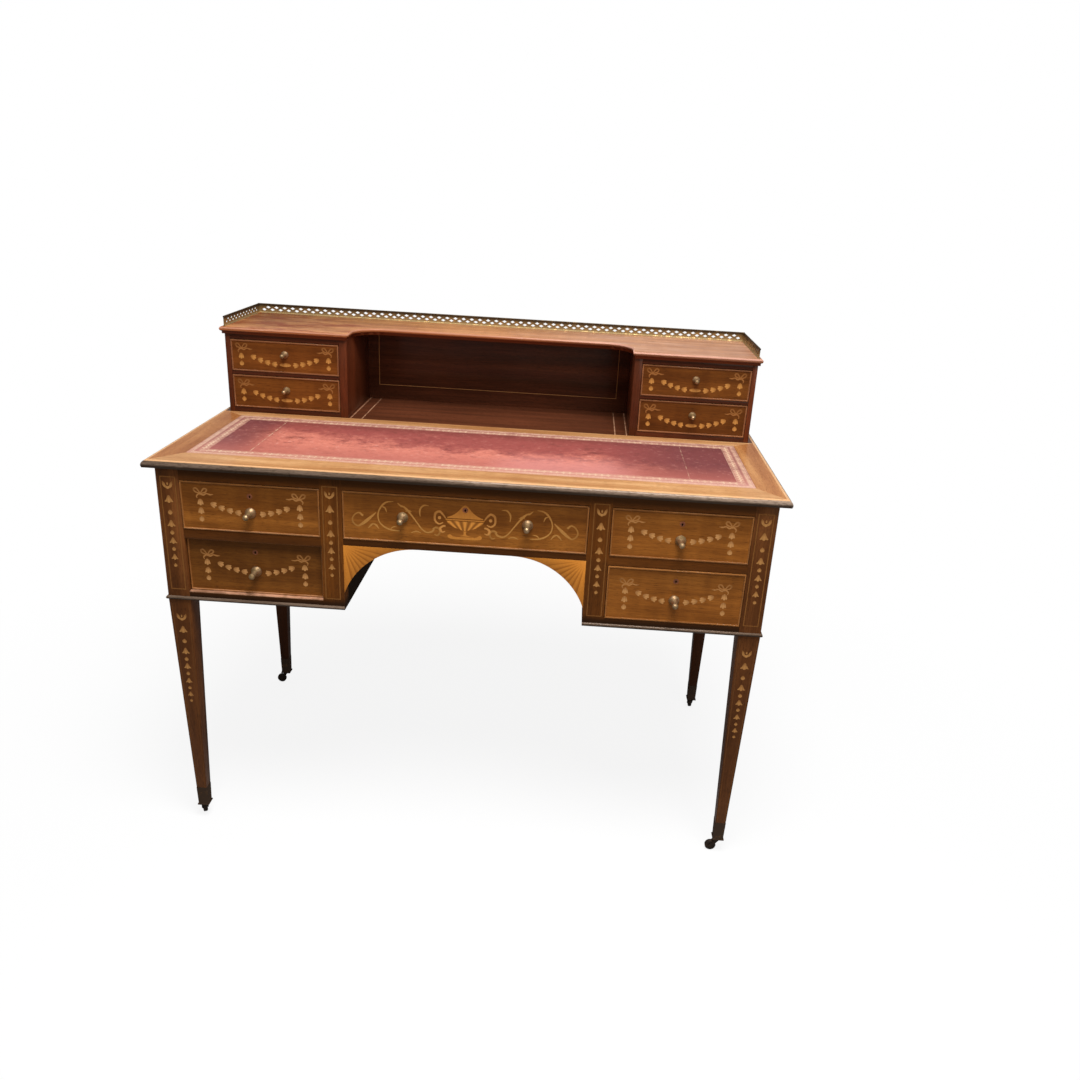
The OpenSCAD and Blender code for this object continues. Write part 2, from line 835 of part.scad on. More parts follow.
// What a lock takes out of a drawer front: its pocket, the keyhole and the seat of the plate
module lock_cut(x, y, t, top, key_z) {
    block([x - lock_w / 2, y + lock_skin, top - lock_h],
        [x + lock_w / 2, y + t + over, top + over]);
    translate([x, 0, key_z])
        along_y(y - over, y + lock_skin + over)
            keyhole_outline();
    translate([x, y - over, key_z])
        rotate([-90, 0, 0])
            cylinder(r = plate_r, h = plate_t + over);
}

// The sides, back and bottom of a drawer
module drawer_box(o, y, t, l, side) {
    in_y = y + t;
    out_y = y + l;
    floor_z = o[2] + bottom_rise;
    rim_z = o[3] - side_drop;
    color(drawer_lining) {
        for (x = [o[0], o[1] - side])
            block([x, in_y, o[2]], [x + side, out_y, rim_z]);
        block([o[0] + side, out_y - side, floor_z + drawer_bottom_t], [o[1] - side, out_y, rim_z]);
        block([o[0] + side, in_y, floor_z], [o[1] - side, out_y, floor_z + drawer_bottom_t]);
    }
}

// A ball knob with its rose, neck, shank and nut; y is the face that it stands on
module knob(x, y, z, ball, reach, rose, t) {
    centre = reach - ball;
    color(brass)
        translate([x, y, z])
            rotate([90, 0, 0]) {
                rotate_extrude()
                    intersection() {
                        union() {
                            square([rose, rose_t]);
                            square([neck_r, centre]);
                            translate([0, -t - nut_t - tail_l])
                                square([shank_r, t + nut_t + tail_l + over]);
                            translate([0, centre])
                                circle(ball);
                        }
                        translate([0, -t - nut_t - tail_l])
                            square([rose + ball, t + nut_t + tail_l + reach]);
                    }
                translate([0, 0, -t - nut_t])
                    difference() {
                        cylinder(d = nut_w, h = nut_t, $fn = 6);
                        translate([0, 0, -over])
                            cylinder(r = shank_r, h = nut_t + 2 * over);
                    }
            }
}

// The lock case and its keyhole plate
module lock(x, y, top, key_z) {
    bolt_y = y + lock_skin + (lock_t - bolt_t) / 2;
    color(steel)
        difference() {
            block([x - lock_w / 2, y + lock_skin, top - lock_h],
                [x + lock_w / 2, y + lock_skin + lock_t, top]);
            block([x - bolt_w / 2 - bolt_gap, bolt_y - bolt_gap, top - bolt_h - 2 * bolt_gap],
                [x + bolt_w / 2 + bolt_gap, bolt_y + bolt_t + bolt_gap, top + over]);
        }
    color(brass)
        translate([x, 0, key_z])
            along_y(y, y + plate_t)
                difference() {
                    circle(plate_r);
                    keyhole_outline();
                }
}

// The bolt inside a lock, drawn back
module lock_bolt(x, y, top) {
    bolt_y = y + lock_skin + (lock_t - bolt_t) / 2;
    color(brass)
        block([x - bolt_w / 2, bolt_y, top - bolt_h - bolt_gap],
            [x + bolt_w / 2, bolt_y + bolt_t, top - bolt_gap]);
}

// Openings of the nine drawers
upper_left = opening(-leg_in_x, -stile_x, upper_z, upper_top_z);
lower_left = opening(-leg_in_x, -stile_x, lower_z, lower_top_z);
centre = opening(-knee_x, knee_x, upper_z, upper_top_z);
upper_right = opening(stile_x, leg_in_x, upper_z, upper_top_z);
lower_right = opening(stile_x, leg_in_x, lower_z, lower_top_z);
small_upper_left = opening(-raised_in_x, -partition_out_x, small_upper_z, small_upper_top_z);
small_lower_left = opening(-raised_in_x, -partition_out_x, small_lower_z, small_lower_top_z);
small_upper_right = opening(partition_out_x, raised_in_x, small_upper_z, small_upper_top_z);
small_lower_right = opening(partition_out_x, raised_in_x, small_lower_z, small_lower_top_z);

// Middles across and up of an opening
function mid_x(o) = (o[0] + o[1]) / 2;
function mid_z(o) = (o[2] + o[3]) / 2;

upper_key_z = upper_top_z - key_drop;
lower_key_z = lower_top_z - key_drop;
set_back_y = face_y + set_back;
centre_knobs = [for (side = [-1, 1]) [side * centre_knob_x, mid_z(centre) + centre_knob_rise]];

module desk_front(o, y, key_z) {
    drawer_front(o, y, front_t, [[mid_x(o), mid_z(o) - bank_knob_drop]], key_z);
}

module desk_box(o, y) {
    drawer_box(o, y, front_t, drawer_l, drawer_side_t);
}

module desk_fittings(o, y, key_z) {
    knob(mid_x(o), y, mid_z(o) - bank_knob_drop, knob_r, knob_reach, rose_r, front_t);
    lock(mid_x(o), y, o[3], key_z);
}

module small_front(o) {
    drawer_front(o, raised_y, small_front_t, [[mid_x(o), mid_z(o) + small_knob_rise]], 0);
}

module small_box(o) {
    drawer_box(o, raised_y, small_front_t, small_drawer_l, small_side_t);
}

module small_knob(o) {
    knob(mid_x(o), raised_y, mid_z(o) + small_knob_rise, small_knob_r, small_knob_reach, small_rose_r,
        small_front_t);
}

module centre_front() {
    drawer_front(centre, face_y, front_t, centre_knobs, upper_key_z);
}

module centre_fittings() {
    for (k = centre_knobs)
        knob(k[0], face_y, k[1], knob_r, knob_reach, rose_r, front_t);
    lock(0, face_y, centre[3], upper_key_z);
}

desk_top();
top_edge_moulding();
crossbanding();
writing_leather();
leg(-leg_x, front_leg_y);  // front_left_leg
leg(leg_x, front_leg_y);  // front_right_leg
leg(-leg_x, back_leg_y);  // back_left_leg
leg(leg_x, back_leg_y);  // back_right_leg
bank_sides();
back_panels();
front_frame();
arch_corners();
drawer_runners();
foot_bead();
shelf();
raised_uprights();
raised_back();
raised_boards();
gallery();
castor_cups();
castor(-leg_x, front_leg_y, trail_turns[0]);  // front_left_castor
castor(leg_x, front_leg_y, trail_turns[1]);  // front_right_castor
castor(-leg_x, back_leg_y, trail_turns[2]);  // back_left_castor
castor(leg_x, back_leg_y, trail_turns[3]);  // back_right_castor
wheel(-leg_x, front_leg_y, trail_turns[0]);  // front_left_wheel
wheel(leg_x, front_leg_y, trail_turns[1]);  // front_right_wheel
wheel(-leg_x, back_leg_y, trail_turns[2]);  // back_left_wheel
wheel(leg_x, back_leg_y, trail_turns[3]);  // back_right_wheel
desk_front(upper_left, face_y, upper_key_z);  // upper_left_front
desk_box(upper_left, face_y);  // upper_left_box
desk_fittings(upper_left, face_y, upper_key_z);  // upper_left_fittings
lock_bolt(mid_x(upper_left), face_y, upper_left[3]);  // upper_left_bolt
desk_front(lower_left, set_back_y, lower_key_z);  // lower_left_front
desk_box(lower_left, set_back_y);  // lower_left_box
desk_fittings(lower_left, set_back_y, lower_key_z);  // lower_left_fittings
lock_bolt(mid_x(lower_left), set_back_y, lower_left[3]);  // lower_left_bolt
centre_front();
desk_box(centre, face_y);  // centre_box
centre_fittings();
lock_bolt(0, face_y, centre[3]);  // centre_bolt
desk_front(upper_right, face_y, upper_key_z);  // upper_right_front
desk_box(upper_right, face_y);  // upper_right_box
desk_fittings(upper_right, face_y, upper_key_z);  // upper_right_fittings
lock_bolt(mid_x(upper_right), face_y, upper_right[3]);  // upper_right_bolt
desk_front(lower_right, face_y, lower_key_z);  // lower_right_front
desk_box(lower_right, face_y);  // lower_right_box
desk_fittings(lower_right, face_y, lower_key_z);  // lower_right_fittings
lock_bolt(mid_x(lower_right), face_y, lower_right[3]);  // lower_right_bolt
small_front(small_upper_left);  // small_upper_left_front
small_box(small_upper_left);  // small_upper_left_box
small_knob(small_upper_left);  // small_upper_left_knob
small_front(small_lower_left);  // small_lower_left_front
small_box(small_lower_left);  // small_lower_left_box
small_knob(small_lower_left);  // small_lower_left_knob
small_front(small_upper_right);  // small_upper_right_front
small_box(small_upper_right);  // small_upper_right_box
small_knob(small_upper_right);  // small_upper_right_knob
small_front(small_lower_right);  // small_lower_right_front
small_box(small_lower_right);  // small_lower_right_box
small_knob(small_lower_right);  // small_lower_right_knob
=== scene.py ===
import math
import bpy
from mathutils import Matrix, Vector


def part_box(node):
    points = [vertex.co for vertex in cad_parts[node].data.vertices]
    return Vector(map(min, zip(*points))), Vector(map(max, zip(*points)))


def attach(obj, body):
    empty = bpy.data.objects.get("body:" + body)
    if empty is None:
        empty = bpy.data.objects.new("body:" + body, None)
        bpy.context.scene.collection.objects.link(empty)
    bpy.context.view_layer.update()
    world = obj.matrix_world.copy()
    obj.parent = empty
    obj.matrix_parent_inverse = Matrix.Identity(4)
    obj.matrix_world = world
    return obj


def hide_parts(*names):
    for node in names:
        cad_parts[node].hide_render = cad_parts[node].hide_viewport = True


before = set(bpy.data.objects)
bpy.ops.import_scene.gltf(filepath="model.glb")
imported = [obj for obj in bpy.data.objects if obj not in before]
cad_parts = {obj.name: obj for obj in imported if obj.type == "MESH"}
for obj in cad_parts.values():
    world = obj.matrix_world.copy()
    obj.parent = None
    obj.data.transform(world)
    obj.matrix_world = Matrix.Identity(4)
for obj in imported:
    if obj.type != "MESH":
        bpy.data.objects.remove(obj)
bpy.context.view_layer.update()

# The camera stands a little right of the middle, about a metre and a half in front of the drawers
# at a standing person's eye level. It looks down on the writing surface and leans slightly.
face_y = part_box("front_frame")[0].y
camera_place = Vector((0.18402, face_y - 1.52637, 1.24556))
camera_yaw = math.radians(-0.93)
camera_pitch = math.radians(-21.82)
camera_roll = math.radians(3.34)
ahead = Vector((math.sin(camera_yaw) * math.cos(camera_pitch),
                math.cos(camera_yaw) * math.cos(camera_pitch), math.sin(camera_pitch)))
level = Vector((math.cos(camera_yaw), -math.sin(camera_yaw), 0.0))
upright = level.cross(ahead)
right = math.cos(camera_roll) * level + math.sin(camera_roll) * upright
upward = math.cos(camera_roll) * upright - math.sin(camera_roll) * level
camera = bpy.data.objects.new("camera", bpy.data.cameras.new("camera"))
camera.data.sensor_width = 36.0
camera.data.lens = 30.948
camera.data.shift_x = -0.01305
camera.data.shift_y = 0.01173
camera_turn = Matrix((right, upward, -ahead)).transposed().to_4x4()
camera.matrix_world = Matrix.Translation(camera_place) @ camera_turn
bpy.context.scene.collection.objects.link(camera)
bpy.context.scene.camera = camera
bpy.context.scene.view_settings.view_transform = "Standard"

# A plain white studio floor that runs into a white background. It keeps a soft shadow under the
# desk and fades to the background's white further away.


class Wire:
    """A number, colour or vector on its way from one shader node to the next."""

    def __init__(self, tree, socket=None):
        self.tree = tree
        self.socket = socket

    def node(self, kind, settings=None, inputs=None, output=0):
        made = self.tree.nodes.new("ShaderNode" + kind)
        for key, value in (settings or {}).items():
            if key == "stops":
                stops = made.color_ramp.elements
                while len(stops) < len(value):
                    stops.new(0.5)
                for stop, (place, colour) in zip(stops, value):
                    stop.position = place
                    stop.color = (*colour, 1.0)
            else:
                setattr(made, key, value)
        for key, value in (inputs or {}).items():
            if isinstance(value, Wire):
                self.tree.links.new(value.socket, made.inputs[key])
            elif made.inputs[key].type == "RGBA":
                made.inputs[key].default_value = (*value, 1.0)
            else:
                made.inputs[key].default_value = value
        return Wire(self.tree, made.outputs[output])

    def math(self, operation, first, second=0.0):
        return self.node("Math", {"operation": operation}, {0: first, 1: second})

    def __add__(self, other):
        return self.math("ADD", self, other)

    def __radd__(self, other):
        return self.math("ADD", other, self)

    def __sub__(self, other):
        return self.math("SUBTRACT", self, other)

    def __rsub__(self, other):
        return self.math("SUBTRACT", other, self)

    def __mul__(self, other):
        return self.math("MULTIPLY", self, other)

    def __rmul__(self, other):
        return self.math("MULTIPLY", other, self)

    def __truediv__(self, other):
        return self.math("DIVIDE", self, other)

    def __abs__(self):
        return self.math("ABSOLUTE", self)

    def least(self, other):
        return self.math("MINIMUM", self, other)

    def most(self, other):
        return self.math("MAXIMUM", self, other)

    def part(self):
        return self.math("FRACT", self)

    def root(self):
        return self.math("SQRT", self)

    def rise(self, low, high):
        return self.node("MapRange", {"interpolation_type": "SMOOTHSTEP"}, {0: self, 1: low, 2: high})

    def axis(self, number):
        return self.node("SeparateXYZ", None, {0: self}, number)

    def noise(self, scale, detail=2.0, rough=0.5, output=0):
        scale = scale if isinstance(scale, tuple) else (scale, scale, scale)
        stretched = self.node("Mapping", None, {"Vector": self, "Scale": scale})
        return self.node("TexNoise", None, {"Vector": stretched, "Scale": 1.0, "Detail": detail,
                                            "Roughness": rough}, output)

    def vector(self, operation, other):
        return self.node("VectorMath", {"operation": operation}, {0: self, 1: other})

    def mixed(self, factor, first, second):
        return self.node("Mix", {"data_type": "RGBA"}, {0: factor, 6: first, 7: second}, 2)

    def blend(self, factor, other):
        return self.mixed(factor, self, other)


def paint(*colour):
    """A colour as it is seen on a screen, in parts of 255, turned into light."""
    shares = [part / 255 for part in colour]
    return tuple(share / 12.92 if share < 0.04 else ((share + 0.055) / 1.055) ** 2.4 for share in shares)


def new_finish(name):
    finish = bpy.data.materials.new(name)
    finish.use_nodes = True
    finish.node_tree.nodes.clear()
    return finish, Wire(finish.node_tree)


def end_finish(start, shader):
    output = start.tree.nodes.new("ShaderNodeOutputMaterial")
    start.tree.links.new(shader.socket, output.inputs["Surface"])


def select_only(*pieces):
    bpy.ops.object.select_all(action="DESELECT")
    for piece in pieces:
        piece.select_set(True)
    bpy.context.view_layer.objects.active = pieces[0]


floor_size = 24.0
floor_drop = 0.0002
floor_white = (0.95, 0.95, 0.95)
floor_bounce = (0.34, 0.33, 0.32)
shadow_share = 0.13
shadow_near = 0.55
shadow_far = 1.6
bpy.ops.object.select_all(action="DESELECT")
bpy.ops.mesh.primitive_plane_add(size=floor_size, location=(0.0, 0.0, -floor_drop))
floor = bpy.context.object
floor.name = "floor"
select_only(floor)
bpy.ops.object.transform_apply()
floor_finish, start = new_finish("floor_white")
spot = start.node("TexCoord", output="Object")
away = start.node("VectorMath", {"operation": "LENGTH"}, {0: spot}, 1)
seen = start.node("LightPath", output="Is Camera Ray")
dull = start.node("BsdfDiffuse", None, {"Color": start.mixed(seen, floor_bounce, floor_white)})
glow = start.node("Emission", None, {"Color": (1.0, 1.0, 1.0), "Strength": 1.0})
fade = (1 - shadow_share) + shadow_share * away.rise(shadow_near, shadow_far)
end_finish(start, start.node("MixShader", None, {0: seen * fade, 1: dull, 2: glow}))
floor.data.materials.append(floor_finish)

# The white air of the studio. It is seen as pure white, also through openings, and lights the
# desk with less than a third of that.
world = bpy.data.worlds.new("studio")
bpy.context.scene.world = world
world.use_nodes = True
world.node_tree.nodes.clear()
air = Wire(world.node_tree)
room_light = 0.30
seen = air.node("LightPath", output="Is Camera Ray")
seen = seen.most(air.node("LightPath", output="Is Transmission Ray"))
strength = room_light + (1 - room_light) * seen
light = air.node("Background", None, {"Color": (1.0, 1.0, 1.0), "Strength": strength})
sky = world.node_tree.nodes.new("ShaderNodeOutputWorld")
world.node_tree.links.new(light.socket, sky.inputs["Surface"])

# Two broad soft boxes: the key hangs almost overhead, so that the top is bright and the moulding
# throws its shadow on the rail below, and a weaker one fills the front from the right.
lamps = [("key_light", (0.25, -1.00, 3.0), 1.4, 86.0), ("fill_light", (1.9, -3.0, 1.9), 2.4, 18.0)]
lamp_aim = Vector((0.0, 0.0, 0.65))
for name, place, size, watts in lamps:
    lamp = bpy.data.objects.new(name, bpy.data.lights.new(name, "AREA"))
    lamp.data.shape = "DISK"
    lamp.data.size = size
    lamp.data.energy = watts
    lamp.location = place
    lamp.rotation_euler = (lamp_aim - Vector(place)).to_track_quat("-Z", "Y").to_euler()
    bpy.context.scene.collection.objects.link(lamp)

# Four square legs of mahogany, tapered below the case and polished by hand. The upper part of
# each is the corner post of the case, and its arrises are eased with a block plane.


shellac = paint(255, 206, 160)


def swapped(start, point, mask):
    """Turns the grain from across to upright where the mask is 1."""
    turned = start.node("CombineXYZ", None, {0: point.axis(2), 1: point.axis(1), 2: point.axis(0)})
    return start.node("Mix", {"data_type": "VECTOR"}, {0: mask, 4: point, 5: turned}, 1)


def wood(name, grain, light, dark, streak=1.0, ripple=0.0, gloss=0.36, coat=0.06, shift=0.0, shade=None,
         turned=None, dull=None):
    """A polished hardwood with streaks, fibres and open pores along its grain."""
    finish, start = new_finish(name)
    place = start.node("TexCoord", output="Object")
    point = place.vector("ADD", (shift, 0.37 * shift, 0.61 * shift))
    if turned:
        point = swapped(start, point, turned(place))
    waver = point.noise(3.1, 1.0, 0.5, 1).vector("SUBTRACT", (0.5, 0.5, 0.5))
    waver = start.node("VectorMath", {"operation": "SCALE"}, {0: waver, "Scale": 0.030})
    drift = point.vector("ADD", waver)

    def along(slow, fast):
        return tuple(slow if letter == grain else fast for letter in "xyz")

    streaks = drift.noise(along(1.6, 34.0), 3.0, 0.55)
    fibres = drift.noise(along(9.0, 420.0), 2.0, 0.6)
    pores = drift.noise(along(75.0, 1700.0), 0.0).rise(0.60, 0.72)
    patches = point.noise(4.0, 2.0, 0.5)
    waves = drift.noise(along(42.0, 7.0), 1.0).rise(0.3, 0.7)
    tone = 0.5 + (streaks - 0.5) * (1.3 * streak) + (fibres - 0.5) * (0.5 * streak) + (patches - 0.5) * 0.5
    tone = tone + (waves - 0.5) * ripple
    middle = tuple(math.sqrt(a * b) for a, b in zip(light, dark))
    colour = start.node("ValToRGB", {"stops": [(0.20, dark), (0.50, middle), (0.82, light)]}, {0: tone})
    deep = tuple(0.4 * c for c in dark)
    colour = colour.blend(pores * 0.5, deep)
    if shade:
        colour = shade(start, place, colour)
    rubbed = point.noise(11.0, 3.0, 0.6)
    rough = gloss + (rubbed - 0.5) * 0.18 + pores * 0.15
    polish = coat * (0.4 + 1.2 * rubbed)
    if dull:
        unpolished = dull(place)
        rough = rough + unpolished * 0.5
        polish = polish * (1 - unpolished)
    grainy = start.node("Bump", None, {"Strength": 0.25, "Distance": 0.0002,
                                       "Height": fibres * 0.5 - pores * 0.7})
    shine = start.node("BsdfPrincipled", None, {
        "Base Color": colour, "Roughness": rough, "Specular IOR Level": 0.22,
        "Specular Tint": shellac, "Coat Weight": polish, "Coat Roughness": 0.16, "Normal": grainy})
    end_finish(start, shine)
    return finish


def settle(piece, body, slot, finish, *nodes):
    """Fixes the piece's place in its mesh, finishes it, and ties it to what carries it."""
    select_only(piece)
    bpy.ops.object.transform_apply()
    piece.data.materials.clear()
    piece.data.materials.append(finish)
    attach(piece, body)
    if nodes:
        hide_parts(*nodes)
    return piece


def smooth(piece, degrees=35.0):
    select_only(piece)
    bpy.ops.object.shade_smooth_by_angle(angle=math.radians(degrees))


def cleaned(piece, reach=0.00001):
    """Joins doubled points and turns all faces outwards."""
    select_only(piece)
    bpy.ops.object.mode_set(mode="EDIT")
    bpy.ops.mesh.select_all(action="SELECT")
    bpy.ops.mesh.remove_doubles(threshold=reach)
    bpy.ops.mesh.normals_make_consistent(inside=False)
    bpy.ops.object.mode_set(mode="OBJECT")
    return piece


def copy_of(piece, name):
    """A copy of the piece with its own mesh."""
    twin = bpy.data.objects.new(name, piece.data.copy())
    bpy.context.scene.collection.objects.link(twin)
    return twin


def arris_off(piece, width, segments=1, degrees=30.0):
    """Takes off the arrises where faces meet at more than the angle."""
    arris = piece.modifiers.new("arris", "BEVEL")
    arris.width = width
    arris.segments = segments
    arris.limit_method = "ANGLE"
    arris.angle_limit = math.radians(degrees)
    select_only(piece)
    bpy.ops.object.modifier_apply(modifier="arris")


def eased(node, name, width):
    """The CAD node's shape as one clean mesh, with its arrises taken off."""
    piece = copy_of(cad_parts[node], name)
    select_only(piece)
    bpy.ops.object.mode_set(mode="EDIT")
    bpy.ops.mesh.select_all(action="SELECT")
    bpy.ops.mesh.remove_doubles(threshold=0.00001)
    bpy.ops.mesh.dissolve_limited(angle_limit=math.radians(0.6))
    bpy.ops.object.mode_set(mode="OBJECT")
    if width:
        arris_off(piece, width, 2, 40.0)
    smooth(piece, 42.0)
    return piece


def made(node, name, arris, slot, finish, body="desk"):
    """Puts the eased and finished shape in the CAD node's place."""
    settle(eased(node, name, arris), body, slot, finish, node)


corners = ("front_left", "front_right", "back_left", "back_right")
leg_light = paint(126, 75, 37)
leg_dark = paint(68, 35, 13)
leg_arris = 0.0009
# The back legs get darker tones than the front legs, as painted shade.
back_leg_shaded_light = paint(72, 38, 20)
back_leg_shaded_dark = paint(38, 18, 9)
leg_finish = wood("leg_mahogany", "z", leg_light, leg_dark, streak=0.7, ripple=0.05)
back_leg_shaded_finish = wood("back_leg_mahogany_painted_shade", "z", back_leg_shaded_light, back_leg_shaded_dark, streak=0.7, ripple=0.05,
                       shift=0.8)
for corner in corners:
    made(corner + "_leg", "leg_" + corner, leg_arris, "mahogany",
         leg_finish if "front" in corner else back_leg_shaded_finish)

# The case: solid mahogany rails and uprights at the front, veneered panels at the sides, and
# panels and runners that were never polished inside and behind.
side_gap = 0.0008
knee_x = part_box("centre_front")[1].x + side_gap
stile_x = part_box("upper_right_front")[0].x - side_gap
leg_in_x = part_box("upper_right_front")[1].x + side_gap
case_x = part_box("bank_sides")[1].x
case_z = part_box("front_frame")[0].z
case_back_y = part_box("back_panels")[1].y
top_under_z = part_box("top_edge_moulding")[0].z
fan_top_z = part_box("arch_corners")[1].z
ledge_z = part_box("lower_left_front")[0].z - 0.0003
centre_rail_x = 0.216
centre_rail_z = fan_top_z + 0.011
frame_arris = 0.0004
side_arris = 0.0003
frame_light = paint(136, 78, 27)
frame_dark = paint(80, 41, 10)
rail_brown = paint(62, 31, 8)
# Painted shadow under the top, and a darker brown at the foot and on the centre rail.
frame_dark_and_shadow = paint(37, 18, 6)
ledge_highlight = paint(206, 154, 122)
kneehole_shade_black = paint(30, 20, 13)


def in_upright(place):
    across = abs(place.axis(0))
    return across.rise(knee_x - 0.0002, knee_x) * (1 - across.rise(stile_x, stile_x + 0.0002))


def in_kneehole(place):
    return 1 - abs(place.axis(0)).rise(knee_x + side_gap, knee_x + 2 * side_gap)


# Painted shade: the inner sides of the kneehole are painted nearly black.
def kneehole_painted_shade(start, place, colour):
    return colour.blend(in_kneehole(place), kneehole_shade_black)


def behind_front(place):
    return place.axis(1).rise(face_y + 0.0006, face_y + 0.003)


def patchy(place):
    """Uneven patches, as broad as a thumb."""
    return place.noise(40.0, 3.0).rise(0.35, 0.6)


def frame_tones_and_painted_light(start, place, colour):
    """Darker at the foot and on the rail under the centre drawer, with a painted shadow under the top
    and a painted highlight on the ledge where the lower left drawer slides in.
    """
    across = place.axis(0)
    height = place.axis(2)
    foot_dark_and_top_shadow = 1 - height.rise(case_z + 0.009, case_z + 0.028)
    # Painted shadow of the top's overhang on the rail under it.
    foot_dark_and_top_shadow = foot_dark_and_top_shadow.most(0.6 * height.rise(top_under_z - 0.020, top_under_z - 0.008))
    colour = colour.blend((1 - in_upright(place)) * 0.30, rail_brown)
    centre_rail = 1 - height.rise(centre_rail_z, centre_rail_z + 0.001)
    centre_rail = centre_rail * (1 - abs(across).rise(centre_rail_x, centre_rail_x + 0.001))
    colour = colour.blend((foot_dark_and_top_shadow * 0.95).most(centre_rail * 0.50), frame_dark_and_shadow)
    # Painted highlight on the upward face of the ledge in front of the lower left drawer.
    opening = across.rise(-leg_in_x, 0.001 - leg_in_x) * (1 - across.rise(-stile_x - 0.001, -stile_x))
    ledge = height.rise(ledge_z - 0.0022, ledge_z - 0.0012)
    ledge = ledge * (1 - height.rise(ledge_z + 0.0002, ledge_z + 0.0004))
    ledge = ledge * (1 - place.axis(1).rise(face_y + 0.008, face_y + 0.010))
    return colour.blend(opening * ledge * (0.35 + 0.5 * patchy(place)), ledge_highlight)


frame_finish = wood("frame_mahogany", "x", frame_light, frame_dark, streak=0.8, shift=1.7,
                    shade=frame_tones_and_painted_light, turned=in_upright, dull=behind_front)
made("front_frame", "front_rails_and_uprights", frame_arris, "mahogany", frame_finish)
side_finish = wood("side_veneer", "z", paint(142, 84, 42), paint(84, 42, 18), ripple=0.12, shift=3.1,
                   shade=kneehole_painted_shade, dull=in_kneehole)
made("bank_sides", "case_sides", side_arris, "mahogany", side_finish)


def dress(node, finish):
    """Gives a CAD node that stays in sight its finish."""
    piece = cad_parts[node]
    piece.data.materials.clear()
    piece.data.materials.append(finish)


raw_back = wood("unpolished_back", "x", paint(112, 72, 46), paint(62, 36, 22), gloss=0.72, coat=0.0,
                shift=5.3)
raw_pine = wood("unpolished_pine", "y", paint(176, 126, 78), paint(128, 82, 46), streak=1.1, gloss=0.75,
                coat=0.0, shift=2.3)
back_arris = 0.0006
made("back_panels", "back_panels_of_case", back_arris, "plain_wood", raw_back)
dress("drawer_runners", raw_pine)
dress("desk_top", raw_back)

# Two quarter arches of satinwood in the upper corners of the kneehole. Each is a fan of rays
# that spring from its outer corner, one edge of every ray scorched in hot sand.
fan_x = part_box("arch_corners")[1].x
fan_arris = 0.0003
rays = 8
ray_light = paint(205, 129, 49)
ray_burnt = paint(148, 84, 27)
ray_fibre = paint(160, 96, 36)
fan_back_shade = paint(40, 26, 16)
fan_finish, start = new_finish("satinwood_fan")
point = start.node("TexCoord", output="Object")
across = fan_x - abs(point.axis(0))
down = fan_top_z - point.axis(2)
turn = start.math("ARCTAN2", down, across.most(0.0001)) * (rays / (math.pi / 2))
ray = turn.part()
far = (across * across + down * down).root()
burn = ray.rise(0.35, 1.0) * 0.75 + (1 - ray.rise(0.0, 0.10)) * 0.35
edge_ray = (turn - (rays - 1)).rise(0.0, 0.1).most(1 - turn.rise(0.85, 1.0))
burn = burn * (1 - 0.55 * edge_ray) * far.rise(0.006, 0.035)
colour = start.mixed(burn.least(1.0), ray_light, ray_burnt)
fibre = point.noise((300.0, 60.0, 300.0), 2.0)
colour = colour.blend((fibre - 0.42) * 0.8, ray_fibre)
# Painted shade on the faces of the arches behind the front.
behind = (point.axis(1) - (face_y + 0.0006)).rise(0.0, 0.0004)
colour = colour.blend(behind, fan_back_shade)
shine = start.node("BsdfPrincipled", None, {
    "Base Color": colour, "Roughness": 0.34 + fibre * 0.12 + behind * 0.5, "Specular IOR Level": 0.2,
    "Specular Tint": shellac, "Coat Weight": 0.08 * (1 - behind), "Coat Roughness": 0.15})
end_finish(start, shine)
made("arch_corners", "kneehole_arches", fan_arris, "satinwood", fan_finish)

# A half round bead of dark wood, glued round the foot of the case and mitred at the corners.
# Its upper side is painted grey as a highlight, and its lower side black as painted shade.


def flat_shape(name, outlines, thickness):
    """Cuts a flat shape from a sheet, any inner outlines being holes, lying on the XY plane."""
    curve = bpy.data.curves.new(name, "CURVE")
    curve.dimensions = "2D"
    curve.fill_mode = "BOTH"
    curve.extrude = thickness / 2
    for outline in outlines:
        spline = curve.splines.new("POLY")
        spline.points.add(len(outline) - 1)
        for corner, (across, up) in zip(spline.points, outline):
            corner.co = (across, up, 0.0, 1.0)
        spline.use_cyclic_u = True
    drawn = bpy.data.objects.new(name, curve)
    bpy.context.scene.collection.objects.link(drawn)
    select_only(drawn)
    bpy.ops.object.convert(target="MESH")
    return cleaned(bpy.context.object)


def put(piece, place):
    """Moves the piece as the matrix says, and keeps its place in its mesh."""
    piece.matrix_world = place
    select_only(piece)
    bpy.ops.object.transform_apply()
    return piece


